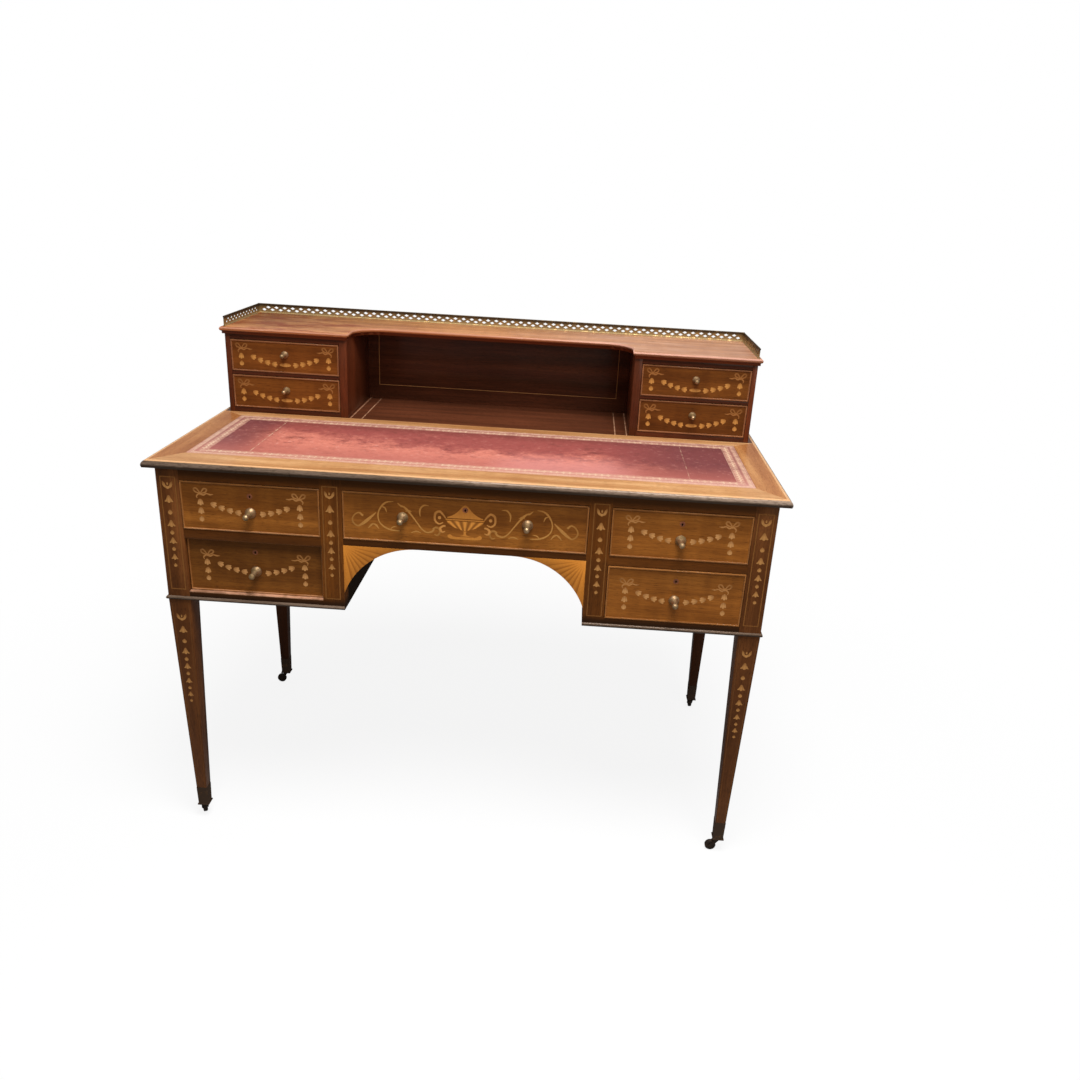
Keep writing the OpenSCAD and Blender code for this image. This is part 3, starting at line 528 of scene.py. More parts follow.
def strip(name, outline, start, end, outward, mitre_start=0.0, mitre_end=0.0):
    """Runs a moulding from start to end. Its outline is given as distances outward and up; a mitre
    of 1 or -1 cuts that end back or forward at 45 degrees."""
    run = Vector(end) - Vector(start)
    spare = 0.03
    piece = flat_shape(name, [outline], run.length + 2 * spare)
    outward = Vector(outward)
    upward = Vector((0.0, 0.0, 1.0))
    turned = Matrix((outward, upward, run.normalized())).transposed().to_4x4()
    put(piece, Matrix.Translation((Vector(start) + Vector(end)) / 2) @ turned)
    bpy.ops.object.mode_set(mode="EDIT")
    for place, side, mitre in ((start, -1.0, mitre_start), (end, 1.0, mitre_end)):
        bpy.ops.mesh.select_all(action="SELECT")
        bpy.ops.mesh.bisect(plane_co=place, plane_no=side * run.normalized() - mitre * outward,
                            use_fill=True, clear_outer=True)
    bpy.ops.mesh.select_all(action="SELECT")
    bpy.ops.mesh.normals_make_consistent(inside=False)
    bpy.ops.object.mode_set(mode="OBJECT")
    smooth(piece, 42.0)
    return piece


def arc(middle, radius, first, last, steps):
    """Points on a circle between two angles in degrees."""
    turns = [math.radians(first + (last - first) * i / steps) for i in range(steps + 1)]
    return [(middle[0] + radius * math.cos(a), middle[1] + radius * math.sin(a)) for a in turns]


def joined(name, pieces):
    select_only(*pieces)
    bpy.ops.object.join()
    pieces[0].name = name
    return pieces[0]


bead_radius = 0.0035
nose_shadow_and_dirt = paint(34, 22, 14)


def grey_above_shade_below(low, high):
    """Painted shade, black below and fading between two heights to the grey above, a painted highlight."""
    def shade(start, place, colour):
        height = place.axis(2) + (place.noise((30.0, 30.0, 400.0), 3.0) - 0.5) * 0.002
        worn = height.rise(low, high)
        return colour.blend((1 - worn) * 0.85, nose_shadow_and_dirt)
    return shade


bead_wood = wood("bead_wood", "x", paint(134, 114, 98), paint(78, 62, 50), streak=0.9, coat=0.2,
                 gloss=0.3, shift=4.4, shade=grey_above_shade_below(case_z + 0.0016, case_z + 0.0050))
half_round = arc((0.0, case_z + bead_radius), bead_radius, -90, 90, 14)
beads = []
for side in (-1.0, 1.0):
    corner_at = (side * case_x, face_y, 0.0)
    beads.append(strip("bead", half_round, (side * knee_x, face_y, 0.0), corner_at, (0.0, -1.0, 0.0),
                       0.0, 1.0))
    beads.append(strip("bead", half_round, corner_at, (side * case_x, case_back_y, 0.0),
                       (side, 0.0, 0.0), 1.0))
settle(joined("bead_round_foot", beads), "desk", "edge_wood", bead_wood, "foot_bead")

# The moulded edge of the top: three mitred strips with a round nose, widest near the bottom.
# Its nose is painted grey as a highlight and black below as painted shade, and its upper edge is as
# pale as the veneer beside it.
top_low, top_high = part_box("top_edge_moulding")
top_x = top_high.x
nose_y = top_low.y
back_y = top_high.y
top_z = top_high.z
edge_width = 0.010
nose_radius = 0.0085
nose_middle = (edge_width - nose_radius, top_z - nose_radius)
nose_foot = math.degrees(math.asin((top_z - nose_radius - top_under_z) / nose_radius))
nose = [(0.0, top_under_z)] + arc(nose_middle, nose_radius, -nose_foot, 90, 20) + [(0.0, top_z)]
edge_x = top_x - edge_width
edge_y = nose_y + edge_width
nose_top_pale = paint(214, 164, 116)
nose_shade = grey_above_shade_below(top_under_z + 0.0036, top_under_z + 0.0072)


def grey_nose_dark_below(start, place, colour):
    """Painted highlight grey on the nose, painted shade black under it with darker patches,
    and as pale as the banding along its upper edge.
    """
    pale_top = place.axis(2).rise(top_z - 0.0016, top_z - 0.0004)
    dirty = place.noise((80.0, 80.0, 600.0), 4.0, 0.7).rise(0.48, 0.62)
    return nose_shade(start, place, colour).blend(dirty * 0.45, nose_shadow_and_dirt).blend(pale_top, nose_top_pale)


edge_wood = wood("moulding_wood", "x", paint(160, 138, 120), paint(88, 72, 60), coat=0.2, gloss=0.3,
                 shift=4.9, shade=grey_nose_dark_below)
edges = [strip("edge", nose, (-edge_x, edge_y, 0.0), (edge_x, edge_y, 0.0), (0.0, -1.0, 0.0), 1.0, 1.0)]
for side in (-1.0, 1.0):
    edges.append(strip("edge", nose, (side * edge_x, edge_y, 0.0), (side * edge_x, back_y, 0.0),
                       (side, 0.0, 0.0), 1.0))
settle(joined("moulded_edge", edges), "desk", "edge_wood", edge_wood, "top_edge_moulding")

# Banding: strips of pale veneer round the leather, mitred at the corners, and a plain veneered
# floor under the raised back. Two light strings run from front to back on that floor.
leather_low, leather_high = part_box("writing_leather")
leather_x = leather_high.x
leather_front_y = leather_low.y
leather_back_y = leather_high.y
raised_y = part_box("raised_uprights")[0].y
veneer_thickness = 0.002
veneer_arris = 0.00015
front_band_light = paint(214, 166, 116)
front_band_dark = paint(168, 114, 68)
side_band_light = paint(194, 137, 84)
side_band_dark = paint(152, 93, 50)
floor_string_x = (0.266, 0.290)
floor_string_pale = paint(196, 148, 116)
string_width = 0.0016


def rectangle(left, right, low, high):
    return [(left, low), (right, low), (right, high), (left, high)]


def veneer(name, outline, finish):
    """Lays one sheet of veneer flush with the writing surface."""
    piece = flat_shape(name, [outline], veneer_thickness)
    piece.location.z = top_z - veneer_thickness / 2
    arris_off(piece, veneer_arris)
    settle(piece, "desk", "crossbanding", finish, "crossbanding")


def floor_strings(start, place, colour):
    across = abs(place.axis(0))
    strings = [(string_width * 0.8 - abs(across - x)).rise(0.0, 0.0003) for x in floor_string_x]
    worn = place.noise(60.0, 3.0).rise(0.35, 0.55)
    return colour.blend(strings[0].most(strings[1]) * (0.3 + 0.5 * worn), floor_string_pale)


band_front = wood("banding_front", "x", front_band_light, front_band_dark, streak=1.1, ripple=0.06,
                  coat=0.2, shift=0.3)
band_side = wood("banding_side", "y", side_band_light, side_band_dark, streak=1.1, ripple=0.06, coat=0.2,
                 shift=0.9)
floor_veneer = wood("pigeonhole_floor", "x", paint(117, 64, 40), paint(66, 34, 20), streak=0.8, coat=0.25,
                    shift=2.9, shade=floor_strings)
veneer("banding_in_front", [(-edge_x, edge_y), (edge_x, edge_y), (leather_x, leather_front_y),
                            (-leather_x, leather_front_y)], band_front)
for name, side in (("left", -1.0), ("right", 1.0)):
    veneer("banding_" + name, [(side * edge_x, edge_y), (side * edge_x, raised_y),
                               (side * leather_x, leather_back_y), (side * leather_x, leather_front_y)],
           band_side)
veneer("banding_behind", [(-leather_x, leather_back_y), (leather_x, leather_back_y),
                          (edge_x, raised_y), (-edge_x, raised_y)], band_front)
veneer("floor_of_pigeonhole", rectangle(-edge_x, edge_x, raised_y, back_y), floor_veneer)

# The writing leather: one red skiver let in flush, faded and scuffed where papers lay, with a
# broad gilt tooled border and a gilt line across near each end. A pale patch near the front is a
# painted reflection, and the front is painted darker as painted shade.
leather_thickness = 0.002
leather_arris = 0.0005
border_width = 0.030
tool_line_x = 0.3995
tool_line_shift = 0.005
flower_pitch = 0.0115
flower_row = 0.0212
flower_radius = 0.0044
petal_reach = 0.0017
flower_eye = 0.0010
flower_dot = 0.0016
scallop_pitch = 0.0070
scallop_row = 0.0068
scallop_radius = 0.0026
scallop_dot = 0.0009
outer_line = 0.0016
inner_line = border_width - 0.0008
gilt_line_half = 0.0005
tool_line_half = 0.0007
leather_red = paint(150, 74, 68)
leather_faded = paint(208, 124, 106)
leather_dull = paint(104, 52, 44)
leather_end = paint(102, 54, 58)
leather_scuffed = paint(232, 170, 154)
leather_front_shade = paint(166, 92, 82)
leather_painted_reflection = paint(216, 150, 146)
border_faded = paint(196, 143, 124)
border_pale = paint(212, 166, 158)
gilt = paint(228, 196, 164)
leather_piece = flat_shape("leather", [rectangle(-leather_x, leather_x, leather_front_y, leather_back_y)],
                           leather_thickness)
leather_piece.location.z = top_z - leather_thickness / 2
arris_off(leather_piece, leather_arris, 3)
leather_finish, start = new_finish("tooled_leather")
point = start.node("TexCoord", output="Object")
beside = leather_x - abs(point.axis(0))
before = (point.axis(1) - leather_front_y).least(leather_back_y - point.axis(1))
inset = beside.least(before)
on_end = (before - beside).rise(-0.0001, 0.0001)
run = point.axis(0) * (1 - on_end) + point.axis(1) * on_end


def ruled(distance, middle, half, soft=0.0003):
    return (half - abs(distance - middle)).rise(-soft, soft)


def repeated(pitch, row, shift=0.0):
    """Distance from the nearest of a row of points along the border."""
    step = ((run / pitch + shift).part() - 0.5) * pitch
    rise = inset - row
    return (step * step + rise * rise).root(), step, rise


lines = ruled(inset, outer_line, gilt_line_half).most(ruled(inset, inner_line, gilt_line_half))
flower, step, rise = repeated(flower_pitch, flower_row)
petal = start.math("COSINE", start.math("ARCTAN2", rise, step) * 4.0)
motif = (flower_radius + petal * petal_reach - flower).rise(0.0, 0.0008)
motif = motif * (flower - flower_eye).rise(0.0, 0.0005)
motif = motif.most((flower_dot - repeated(flower_pitch, flower_row, 0.5)[0]).rise(0.0, 0.0006))
scallop = repeated(scallop_pitch, scallop_row)[0]
motif = motif.most(ruled(scallop, scallop_radius, 0.0006)).most((scallop_dot - scallop).rise(0.0, 0.0004))
motif = motif * (border_width - inset).rise(0.0, 0.0004)
rubbed = point.noise(46.0, 5.0, 0.75)
across_line = ruled(abs(point.axis(0) + tool_line_shift), tool_line_x, tool_line_half)
across_line = across_line * (inset - border_width).rise(0.0, 0.0004)
across_line = across_line * (0.25 + 0.6 * rubbed.rise(0.46, 0.56))
across_line = across_line * (1 - 0.5 * point.axis(0).rise(0.0, 0.1))
tooled = (lines * 0.7).most(motif).most(across_line)
gold = tooled * (0.30 + 0.70 * rubbed.rise(0.38, 0.56))
lace = ruled(inset, scallop_row, 0.0050, 0.0012).most(ruled(inset, flower_row, 0.0068, 0.0012))
broad = point.noise((4.0, 6.0, 1.0), 6.0, 0.64)
small = point.noise((26.0, 30.0, 1.0), 7.0, 0.78)
fine = point.noise((90.0, 110.0, 1.0), 5.0, 0.80)
ridge = (point.axis(1) + 0.12 * point.axis(0)).rise(leather_back_y - 0.05, leather_front_y + 0.03)
middle = (0.47 - abs(point.axis(0) + 0.05) + (broad - 0.5) * 0.30).rise(0.0, 0.22)
worn = (broad * 0.42 + small * 0.50 + ridge * 0.24).rise(0.50, 0.68) * (0.25 + 0.75 * middle)
stain = (broad * 0.3 + (1 - small) * 0.7).rise(0.50, 0.62)
back_stain = (point.axis(1) + (small - 0.5) * 0.06).rise(leather_back_y - 0.075, leather_back_y - 0.035)
ends = (abs(point.axis(0)) - tool_line_x + (small - 0.5) * 0.09).rise(-0.02, 0.05)
colour = start.mixed(worn, leather_red, leather_faded)
colour = colour.blend(stain * (1 - 0.5 * worn) * 0.60, leather_dull)
colour = colour.blend(back_stain * 0.45, leather_dull)
right_end = point.axis(0).rise(0.18, 0.42)
colour = colour.blend((ends * 0.70).most(right_end * 0.78), leather_end)
colour = colour.blend((1 - fine.rise(0.36, 0.46)) * 0.45, leather_dull)
scuffs = fine.rise(0.56, 0.66)
colour = colour.blend(scuffs * (0.22 + 0.45 * worn), leather_scuffed)
near_front = 1 - point.axis(1).rise(leather_front_y, leather_front_y + 0.045)
# Painted shade, darker towards the front where the key light falls strongest.
shade_toward_front = 1 - point.axis(1).rise(leather_front_y + 0.02, leather_front_y + 0.13)
colour = colour.blend(shade_toward_front * 0.70, leather_front_shade)
# A painted reflection: a pale patch right of the middle near the front, fading towards the back.
reflection_patch = (0.15 - abs(point.axis(0) - 0.17) + (broad - 0.5) * 0.20).rise(0.0, 0.10)
reflection_end = (point.axis(1) + (small - 0.5) * 0.10).rise(leather_front_y + 0.06, leather_front_y + 0.16)
colour = colour.blend(reflection_patch * (1 - reflection_end) * 0.34, leather_painted_reflection)
border = (border_width - inset).rise(0.0, 0.0006)
colour = colour.blend(border * (0.34 + 0.44 * lace) * (0.55 + 0.45 * rubbed.rise(0.35, 0.6)), border_faded)
colour = colour.blend(near_front * (0.15 + 0.45 * fine.rise(0.42, 0.60)), border_faded)
colour = colour.blend(near_front * right_end * 0.30, border_pale)
colour = colour.blend(gold, gilt)
pebble = start.node("TexVoronoi", None, {"Vector": point, "Scale": 900.0})
height = pebble * 0.35 + small * 0.5 - tooled * 0.9
bump = start.node("Bump", None, {"Strength": 0.35, "Distance": 0.0004, "Height": height})
shine = start.node("BsdfPrincipled", None, {
    "Base Color": colour, "Roughness": 0.52 - 0.10 * worn - 0.08 * gold, "Metallic": gold * 0.15,
    "Specular IOR Level": 0.35, "Normal": bump})
end_finish(start, shine)
settle(leather_piece, "desk", "red_leather", leather_finish, "writing_leather")

# The raised back: solid uprights and boards, and a dark panel behind the pigeonhole with one
# light string inlaid round it.
raised_front = wood("raised_mahogany", "z", paint(116, 56, 29), paint(57, 24, 12), streak=0.7, coat=0.2,
                    shift=6.1)
raised_rail = wood("raised_boards_mahogany", "x", paint(100, 48, 26), paint(50, 21, 11), streak=0.8,
                   coat=0.2, shift=6.9)
raised_arris = 0.0006
board_arris = 0.0004
panel_arris = 0.0003
panel_string_x = 0.270
panel_string_z = (0.7925, 0.9060)
panel_string_light = paint(182, 130, 80)
panel_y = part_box("raised_back")[0].y


def panel_string(start, place, colour):
    """One string, drawn as the edge of a rectangle on the panel."""
    beside = panel_string_x - abs(place.axis(0))
    above = (place.axis(2) - panel_string_z[0]).least(panel_string_z[1] - place.axis(2))
    on_string = (string_width / 2 - abs(beside.least(above))).rise(0.0, 0.0002)
    at_front = 1 - place.axis(1).rise(panel_y + 0.0002, panel_y + 0.0005)
    return colour.blend(on_string * at_front * 0.85, panel_string_light)


dark_panel = wood("dark_panel", "x", paint(99, 52, 32), paint(52, 25, 15), coat=0.25, shift=7.7,
                  shade=panel_string)
made("raised_uprights", "uprights_of_raised_back", raised_arris, "mahogany", raised_front)
made("raised_boards", "boards_between_small_drawers", board_arris, "mahogany", raised_rail)
made("raised_back", "panel_of_pigeonhole", panel_arris, "dark_wood", dark_panel)

# The shelf: a veneered board with a dark moulded edge, cut back in a long curve over the
# pigeonhole.
shelf_top_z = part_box("shelf")[1].z
shelf_light = paint(214, 151, 97)
shelf_dark = paint(154, 96, 54)
shelf_red = paint(132, 54, 24)
shelf_pale_streak = paint(232, 196, 176)
shelf_dark_streak = paint(160, 100, 74)
shelf_painted_sheen = paint(176, 140, 124)
shelf_nose_highlight = paint(172, 118, 92)
shelf_nose_pale_highlight = paint(206, 160, 144)
shelf_cove_shade = paint(156, 92, 56)
shelf_cove_shade_right = paint(118, 72, 50)
shelf_foot_shade = paint(112, 58, 34)


def shelf_shade(start, place, colour):
    """Red patches in the veneer at the left, pale streaks and a painted sheen at the right, and a brown
    edge with a painted highlight on its nose and painted shade below it.
    """
    across = place.axis(0)
    left_part = 1 - across.rise(-0.40, -0.12)
    right_part = across.rise(-0.05, 0.30)
    patches = place.noise((9.0, 24.0, 1.0), 5.0, 0.65)
    red = (patches + 0.03 * left_part).rise(0.48, 0.60) * (0.15 + 0.75 * left_part)
    colour = colour.blend(red, shelf_red)
    streaks = place.noise((6.0, 190.0, 1.0), 4.0, 0.65)
    colour = colour.blend(streaks.rise(0.50, 0.66) * (0.16 + 0.54 * right_part), shelf_pale_streak)
    colour = colour.blend((1 - streaks.rise(0.36, 0.48)) * (0.10 + 0.42 * right_part), shelf_dark_streak)
    # A painted sheen makes the right part of the shelf paler and greyer.
    colour = colour.blend(right_part * 0.36, shelf_painted_sheen)
    # Painted highlight along the top of the nose, and painted shade in bands below it.
    depth = shelf_top_z - place.axis(2) - (place.noise((22.0, 22.0, 1.0), 2.0) - 0.5) * 0.0008
    lit_nose = depth.rise(0.0003, 0.0009)
    colour = colour.blend(lit_nose, shelf_nose_highlight).blend(right_part * 0.55 * lit_nose, shelf_nose_pale_highlight)
    colour = colour.blend(depth.rise(0.0026, 0.0042), start.mixed(right_part, shelf_cove_shade, shelf_cove_shade_right))
    return colour.blend(depth.rise(0.0060, 0.0090), shelf_foot_shade)


shelf_finish = wood("shelf_veneer", "x", shelf_light, shelf_dark, streak=1.1, ripple=0.1, coat=0.10,
                    shift=8.3, shade=shelf_shade)
made("shelf", "shelf_board", 0.0, "crossbanding", shelf_finish)

# The gallery: a brass strip pierced with a trellis of lozenges, on a flat foot and under a round
# bead, pinned along the back and both ends of the shelf. It has dulled to olive brown.


def metal(name, bright, dull, tarnish, gloss, shade=None):
    """Old brass or steel, bright where hands rub it and dull elsewhere."""
    finish, start = new_finish(name)
    point = start.node("TexCoord", output="Object")
    cloudy = point.noise(90.0, 4.0, 0.65)
    speckle = point.noise(700.0, 2.0, 0.6)
    film = (cloudy * 0.8 + speckle * 0.2).rise(0.62 - 0.35 * tarnish, 0.80 - 0.35 * tarnish)
    colour = start.mixed(film, bright, dull)
    if shade:
        colour = shade(point, colour)
    bump = start.node("Bump", None, {"Strength": 0.2, "Distance": 0.0002, "Height": speckle})
    shine = start.node("BsdfPrincipled", None, {
        "Base Color": colour, "Metallic": 1.0 - 0.45 * film, "Roughness": gloss + 0.25 * film,
        "Normal": bump})
    end_finish(start, shine)
    return finish


gallery_low, gallery_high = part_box("gallery")
gallery_x = gallery_high.x
gallery_front_y = gallery_low.y
gallery_height = gallery_high.z - shelf_top_z
gallery_shade_black = paint(44, 34, 22)
gallery_pale = paint(196, 172, 124)


def shade_above_pale_below(point, colour):
    """Painted shade, nearly black along the top, and paler below."""
    height = point.axis(2)
    # Painted shade over the upper part of the gallery.
    shaded_top = height.rise(shelf_top_z + gallery_height * 0.50, shelf_top_z + gallery_height * 0.86)
    foot = 1 - height.rise(shelf_top_z + gallery_height * 0.12, shelf_top_z + gallery_height * 0.45)
    return colour.blend(shaded_top * 0.80, gallery_shade_black).blend(foot * 0.45, gallery_pale)


gallery_brass = metal("gallery_brass", paint(192, 156, 100), paint(124, 97, 57), tarnish=0.75, gloss=0.42,
                      shade=shade_above_pale_below)
gallery_thickness = 0.0014
rail_width = 0.0032
foot_height = 0.0024
lozenge_pitch = 0.0183
lozenge_bar = 0.0039
stood_up = Matrix.Rotation(math.pi / 2, 4, "X")


def gallery_side(length):
    """One length of the gallery along X from the origin, standing on the XY plane."""
    bead = rail_width / 2
    strip_top = gallery_height - bead
    half_w = lozenge_pitch / 2
    half_h = (strip_top - bead - foot_height) / 3
    count = math.floor((length - lozenge_bar) / lozenge_pitch)
    first = (length - count * lozenge_pitch) / 2 + half_w
    share = 1 - lozenge_bar / 2 / (half_w * half_h / math.hypot(half_w, half_h))
    hole_w = half_w * share
    hole_h = half_h * share
    middles = [(first + i * lozenge_pitch, foot_height + half_h) for i in range(count)]
    middles += [(first + half_w + i * lozenge_pitch, foot_height + 2 * half_h) for i in range(count - 1)]
    holes = [[(x + hole_w, z), (x, z + hole_h), (x - hole_w, z), (x, z - hole_h)] for x, z in middles]
    pierced = flat_shape("pierced", [rectangle(0.0, length, 0.0, strip_top)] + holes, gallery_thickness)
    put(pierced, Matrix.Translation((0.0, bead, 0.0)) @ stood_up)
    foot = flat_shape("foot", [[(0.0, 0.0), (rail_width, 0.0), (rail_width, foot_height * 0.6),
                                (rail_width * 0.75, foot_height), (rail_width * 0.25, foot_height),
                                (0.0, foot_height * 0.6)]], length)
    round_bead = flat_shape("round_bead", [arc((bead, strip_top), bead, 0, 345, 23)], length)
    lengthways = Matrix(((0, 0, 1), (1, 0, 0), (0, 1, 0))).to_4x4()
    for piece in (foot, round_bead):
        put(piece, Matrix.Translation((length / 2, 0.0, 0.0)) @ lengthways)
    return joined("gallery_side", [pierced, foot, round_bead])


gallery_back_y = case_back_y - rail_width
sides = [put(gallery_side(2 * gallery_x), Matrix.Translation((-gallery_x, gallery_back_y, shelf_top_z)))]
for side in (-1.0, 1.0):
    forwards = Matrix(((0, -side, 0), (1, 0, 0), (0, 0, 1))).to_4x4()
    sides.append(put(gallery_side(gallery_back_y - gallery_front_y),
                     Matrix.Translation((side * gallery_x, gallery_front_y, shelf_top_z)) @ forwards))
whole_gallery = cleaned(joined("brass_gallery", sides))
smooth(whole_gallery, 40.0)
settle(whole_gallery, "desk", "brass", gallery_brass, "gallery")

# The nine drawer fronts: veneered mahogany with a proud cock bead mitred round each edge. Each is
# made lighter or darker by its own factor, and painted darker towards the top as painted shadow.
# The five desk drawers are cut for a lock and pierced for its key.
bead_width = 0.003
bead_proud = 0.0015
bead_seat = 0.006
bead_rounding = 0.42
lock_skin = 0.008
key_drop = 0.023
head_gap = 0.0012
foot_gap = 0.0003
plate_radius = 0.005
plate_thickness = 0.0015
key_radius = 0.0019
key_slot = (0.001, 0.004)
lock_size = (0.052, 0.010, 0.036)
tool_reach = 0.001
desk_drawers = ["upper_left", "lower_left", "centre", "upper_right", "lower_right"]
small_drawers = ["small_upper_left", "small_lower_left", "small_upper_right", "small_lower_right"]
front_tones = (paint(160, 99, 39), paint(106, 59, 19))
small_front_tones = (paint(130, 75, 29), paint(84, 43, 14))
# Painted shadow of the rail and moulding over the upper part of each front.
front_shadow_brown = paint(58, 30, 8)
front_shadow_strength = 0.42
small_front_shadow_strength = 0.18
cock_bead_tones = (paint(170, 111, 57), paint(128, 78, 37))
small_bead_tones = (paint(156, 103, 66), paint(118, 72, 44))
bead_shadow_and_dirt = paint(58, 32, 14)
bead_highlight = paint(202, 148, 106)
front_bright = 1.07
# How bright each drawer's veneer is made, how much painted shadow and dirt lie on its upper bead,
# and how much painted highlight on its lower one.
front_brightness = {
    "upper_left": 1.10, "lower_left": 0.71, "centre": 1.06, "upper_right": 1.26, "lower_right": 1.30,
    "small_upper_left": 1.18, "small_lower_left": 0.98, "small_upper_right": 0.76, "small_lower_right": 0.74}
bead_shading = {
    "upper_left": (0.50, 0.50), "lower_left": (0.45, 0.80), "centre": (0.45, 0.40),
    "upper_right": (0.40, 0.15), "lower_right": (0.0, 0.0), "small_upper_left": (0.0, 0.10),
    "small_lower_left": (0.10, 0.0), "small_upper_right": (0.45, 0.0), "small_lower_right": (0.45, 0.10)}


class Front:
    """A drawer front: its edges, face and back, the middle of its opening and its keyhole's height."""

    def __init__(self, drawer):
        low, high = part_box(drawer + "_front")
        self.left = low.x
        self.right = high.x
        self.low = low.z
        self.high = high.z
        self.face = low.y + bead_proud
        self.back = high.y
        self.x = (low.x + high.x) / 2
        self.z = (low.z - foot_gap + high.z + head_gap) / 2
        self.key_z = high.z + head_gap - key_drop


def block(name, low, high):
    """A squared block between two corners, ready to be worked."""
    bpy.ops.object.select_all(action="DESELECT")
    low, high = Vector(low), Vector(high)
    bpy.ops.mesh.primitive_cube_add(size=1.0, location=(low + high) / 2)
    piece = bpy.context.object
    piece.name = name
    piece.scale = high - low
    select_only(piece)
    bpy.ops.object.transform_apply()
    return piece


def pick_front(piece):
    """Goes into edit mode with only those faces selected that look to the front."""
    select_only(piece)
    bpy.ops.object.mode_set(mode="EDIT")
    bpy.ops.mesh.select_all(action="DESELECT")
    bpy.ops.object.mode_set(mode="OBJECT")
    for face in piece.data.polygons:
        face.select = face.normal.y < -0.9
    bpy.ops.object.mode_set(mode="EDIT")


def cut_away(piece, *tools):
    """Cuts the tools' shapes out of the piece."""
    for tool in tools:
        cut = piece.modifiers.new("cut", "BOOLEAN")
        cut.operation = "DIFFERENCE"
        cut.solver = "EXACT"
        cut.object = tool
        select_only(piece)
        bpy.ops.object.modifier_apply(modifier="cut")
        bpy.data.objects.remove(tool)


def plate_round(front):
    return arc((front.x, front.key_z), plate_radius, 0, 350, 35)


def keyhole(front):
    """A round hole over a slot with square corners."""
    slot_x, slot_z = key_slot
    top_arc = arc((front.x, front.key_z), key_radius, -58, 238, 16)
    return top_arc + [(front.x - slot_x, front.key_z - slot_z), (front.x + slot_x, front.key_z - slot_z)]


def upright_shape(name, outlines, y_front, y_back):
    """A flat shape drawn in X and Z, standing between two planes."""
    piece = flat_shape(name, outlines, y_back - y_front)
    return put(piece, Matrix.Translation((0.0, (y_front + y_back) / 2, 0.0)) @ stood_up)


def plate_seat(front):
    """What is cut out of the face for the keyhole plate."""
    return upright_shape("seat", [plate_round(front)], front.face - tool_reach, front.face + plate_thickness)


def framed(left, right, low, high, width):
    """A rectangle and the hole in it, for a frame of one width."""
    return [rectangle(left, right, low, high),
            rectangle(left + width, right - width, low + width, high - width)]


def bead_shadow_and_highlight(low, high, dirty, rubbed):
    """The upper bead of a drawer is darkened with painted shadow and dirt, the lower one given a painted
    highlight.
    """
    def shade(start, place, colour):
        height = place.axis(2)
        head = height.rise(high - bead_width - 0.0002, high - bead_width + 0.0002)
        foot = 1 - height.rise(low + bead_width - 0.0002, low + bead_width + 0.0002)
        patches = patchy(place)
        # Painted shadow with dirt on the upper bead, and a painted highlight on the lower one.
        colour = colour.blend(head * dirty * (0.6 + 0.4 * patches), bead_shadow_and_dirt)
        return colour.blend(foot * rubbed * (0.25 + 0.5 * patches), bead_highlight)
    return shade


def shadow_from_above(low, high, share):
    """A drawer front is painted darker towards the top, as the shadow of what lies above it."""
    def shade(start, place, colour):
        height = place.axis(2) + (place.noise(9.0, 3.0) - 0.5) * (high - low) * 0.5
        return colour.blend(height.rise(low + (high - low) * 0.25, high) * share, front_shadow_brown)
    return shade


for number, drawer in enumerate(desk_drawers + small_drawers):
    node = drawer + "_front"
    body = drawer + "_drawer"
    front = Front(drawer)
    panel = block(drawer + "_panel", (front.left, front.face + bead_seat, front.low),
                  (front.right, front.back, front.high))
    pick_front(panel)
    bpy.ops.mesh.inset(thickness=bead_width)
    bpy.ops.mesh.extrude_region_move(TRANSFORM_OT_translate={"value": (0.0, -bead_seat, 0.0)})
    bpy.ops.object.mode_set(mode="OBJECT")
    cleaned(panel)
    if drawer in desk_drawers:
        tones, bead_tones, shadow_strength = front_tones, cock_bead_tones, front_shadow_strength
        pocket_y = front.face + lock_skin
        hole = upright_shape("hole", [keyhole(front)], front.face - tool_reach, pocket_y + tool_reach)
        pocket = block("pocket", (front.x - lock_size[0] / 2, pocket_y, front.high - lock_size[2]),
                       (front.x + lock_size[0] / 2, front.back + tool_reach, front.high + tool_reach))
        cut_away(panel, plate_seat(front), hole, pocket)
    else:
        tones, bead_tones, shadow_strength = small_front_tones, small_bead_tones, small_front_shadow_strength
    light, dark = ([front_bright * front_brightness[drawer] * c for c in tone] for tone in tones)
    finish = wood(drawer + "_veneer", "x", light, dark, ripple=0.12, shift=11.0 + 1.9 * number,
                  shade=shadow_from_above(front.low, front.high, shadow_strength))
    smooth(panel, 30.0)
    settle(panel, body, "drawer_veneer", finish, node)
    bead = upright_shape(drawer + "_cock_bead",
                         framed(front.left, front.right, front.low, front.high, bead_width),
                         front.face - bead_proud, front.face + bead_seat)
    pick_front(bead)
    bpy.ops.mesh.region_to_loop()
    bpy.ops.mesh.bevel(offset=bead_width * bead_rounding, segments=4, profile=0.5)
    bpy.ops.object.mode_set(mode="OBJECT")
    smooth(bead, 50.0)
    bead_finish = wood(drawer + "_bead", "x", *bead_tones, streak=0.7, coat=0.2, gloss=0.28, shift=9.1,
                       shade=bead_shadow_and_highlight(front.low, front.high, *bead_shading[drawer]))
    settle(bead, body, "edge_wood", bead_finish, node)
    dress(drawer + "_box", raw_pine)

# Marquetry of pale wood shaded in hot sand: every drawer of the two banks and of the raised back
# has a swag of husks between two ribbon bows, with drops of husks at the ends.
mm = 0.001
inlay_thickness = 0.0006
inlay_proud = 0.00012
inlay_step = 0.00002
inlay_layers = 5


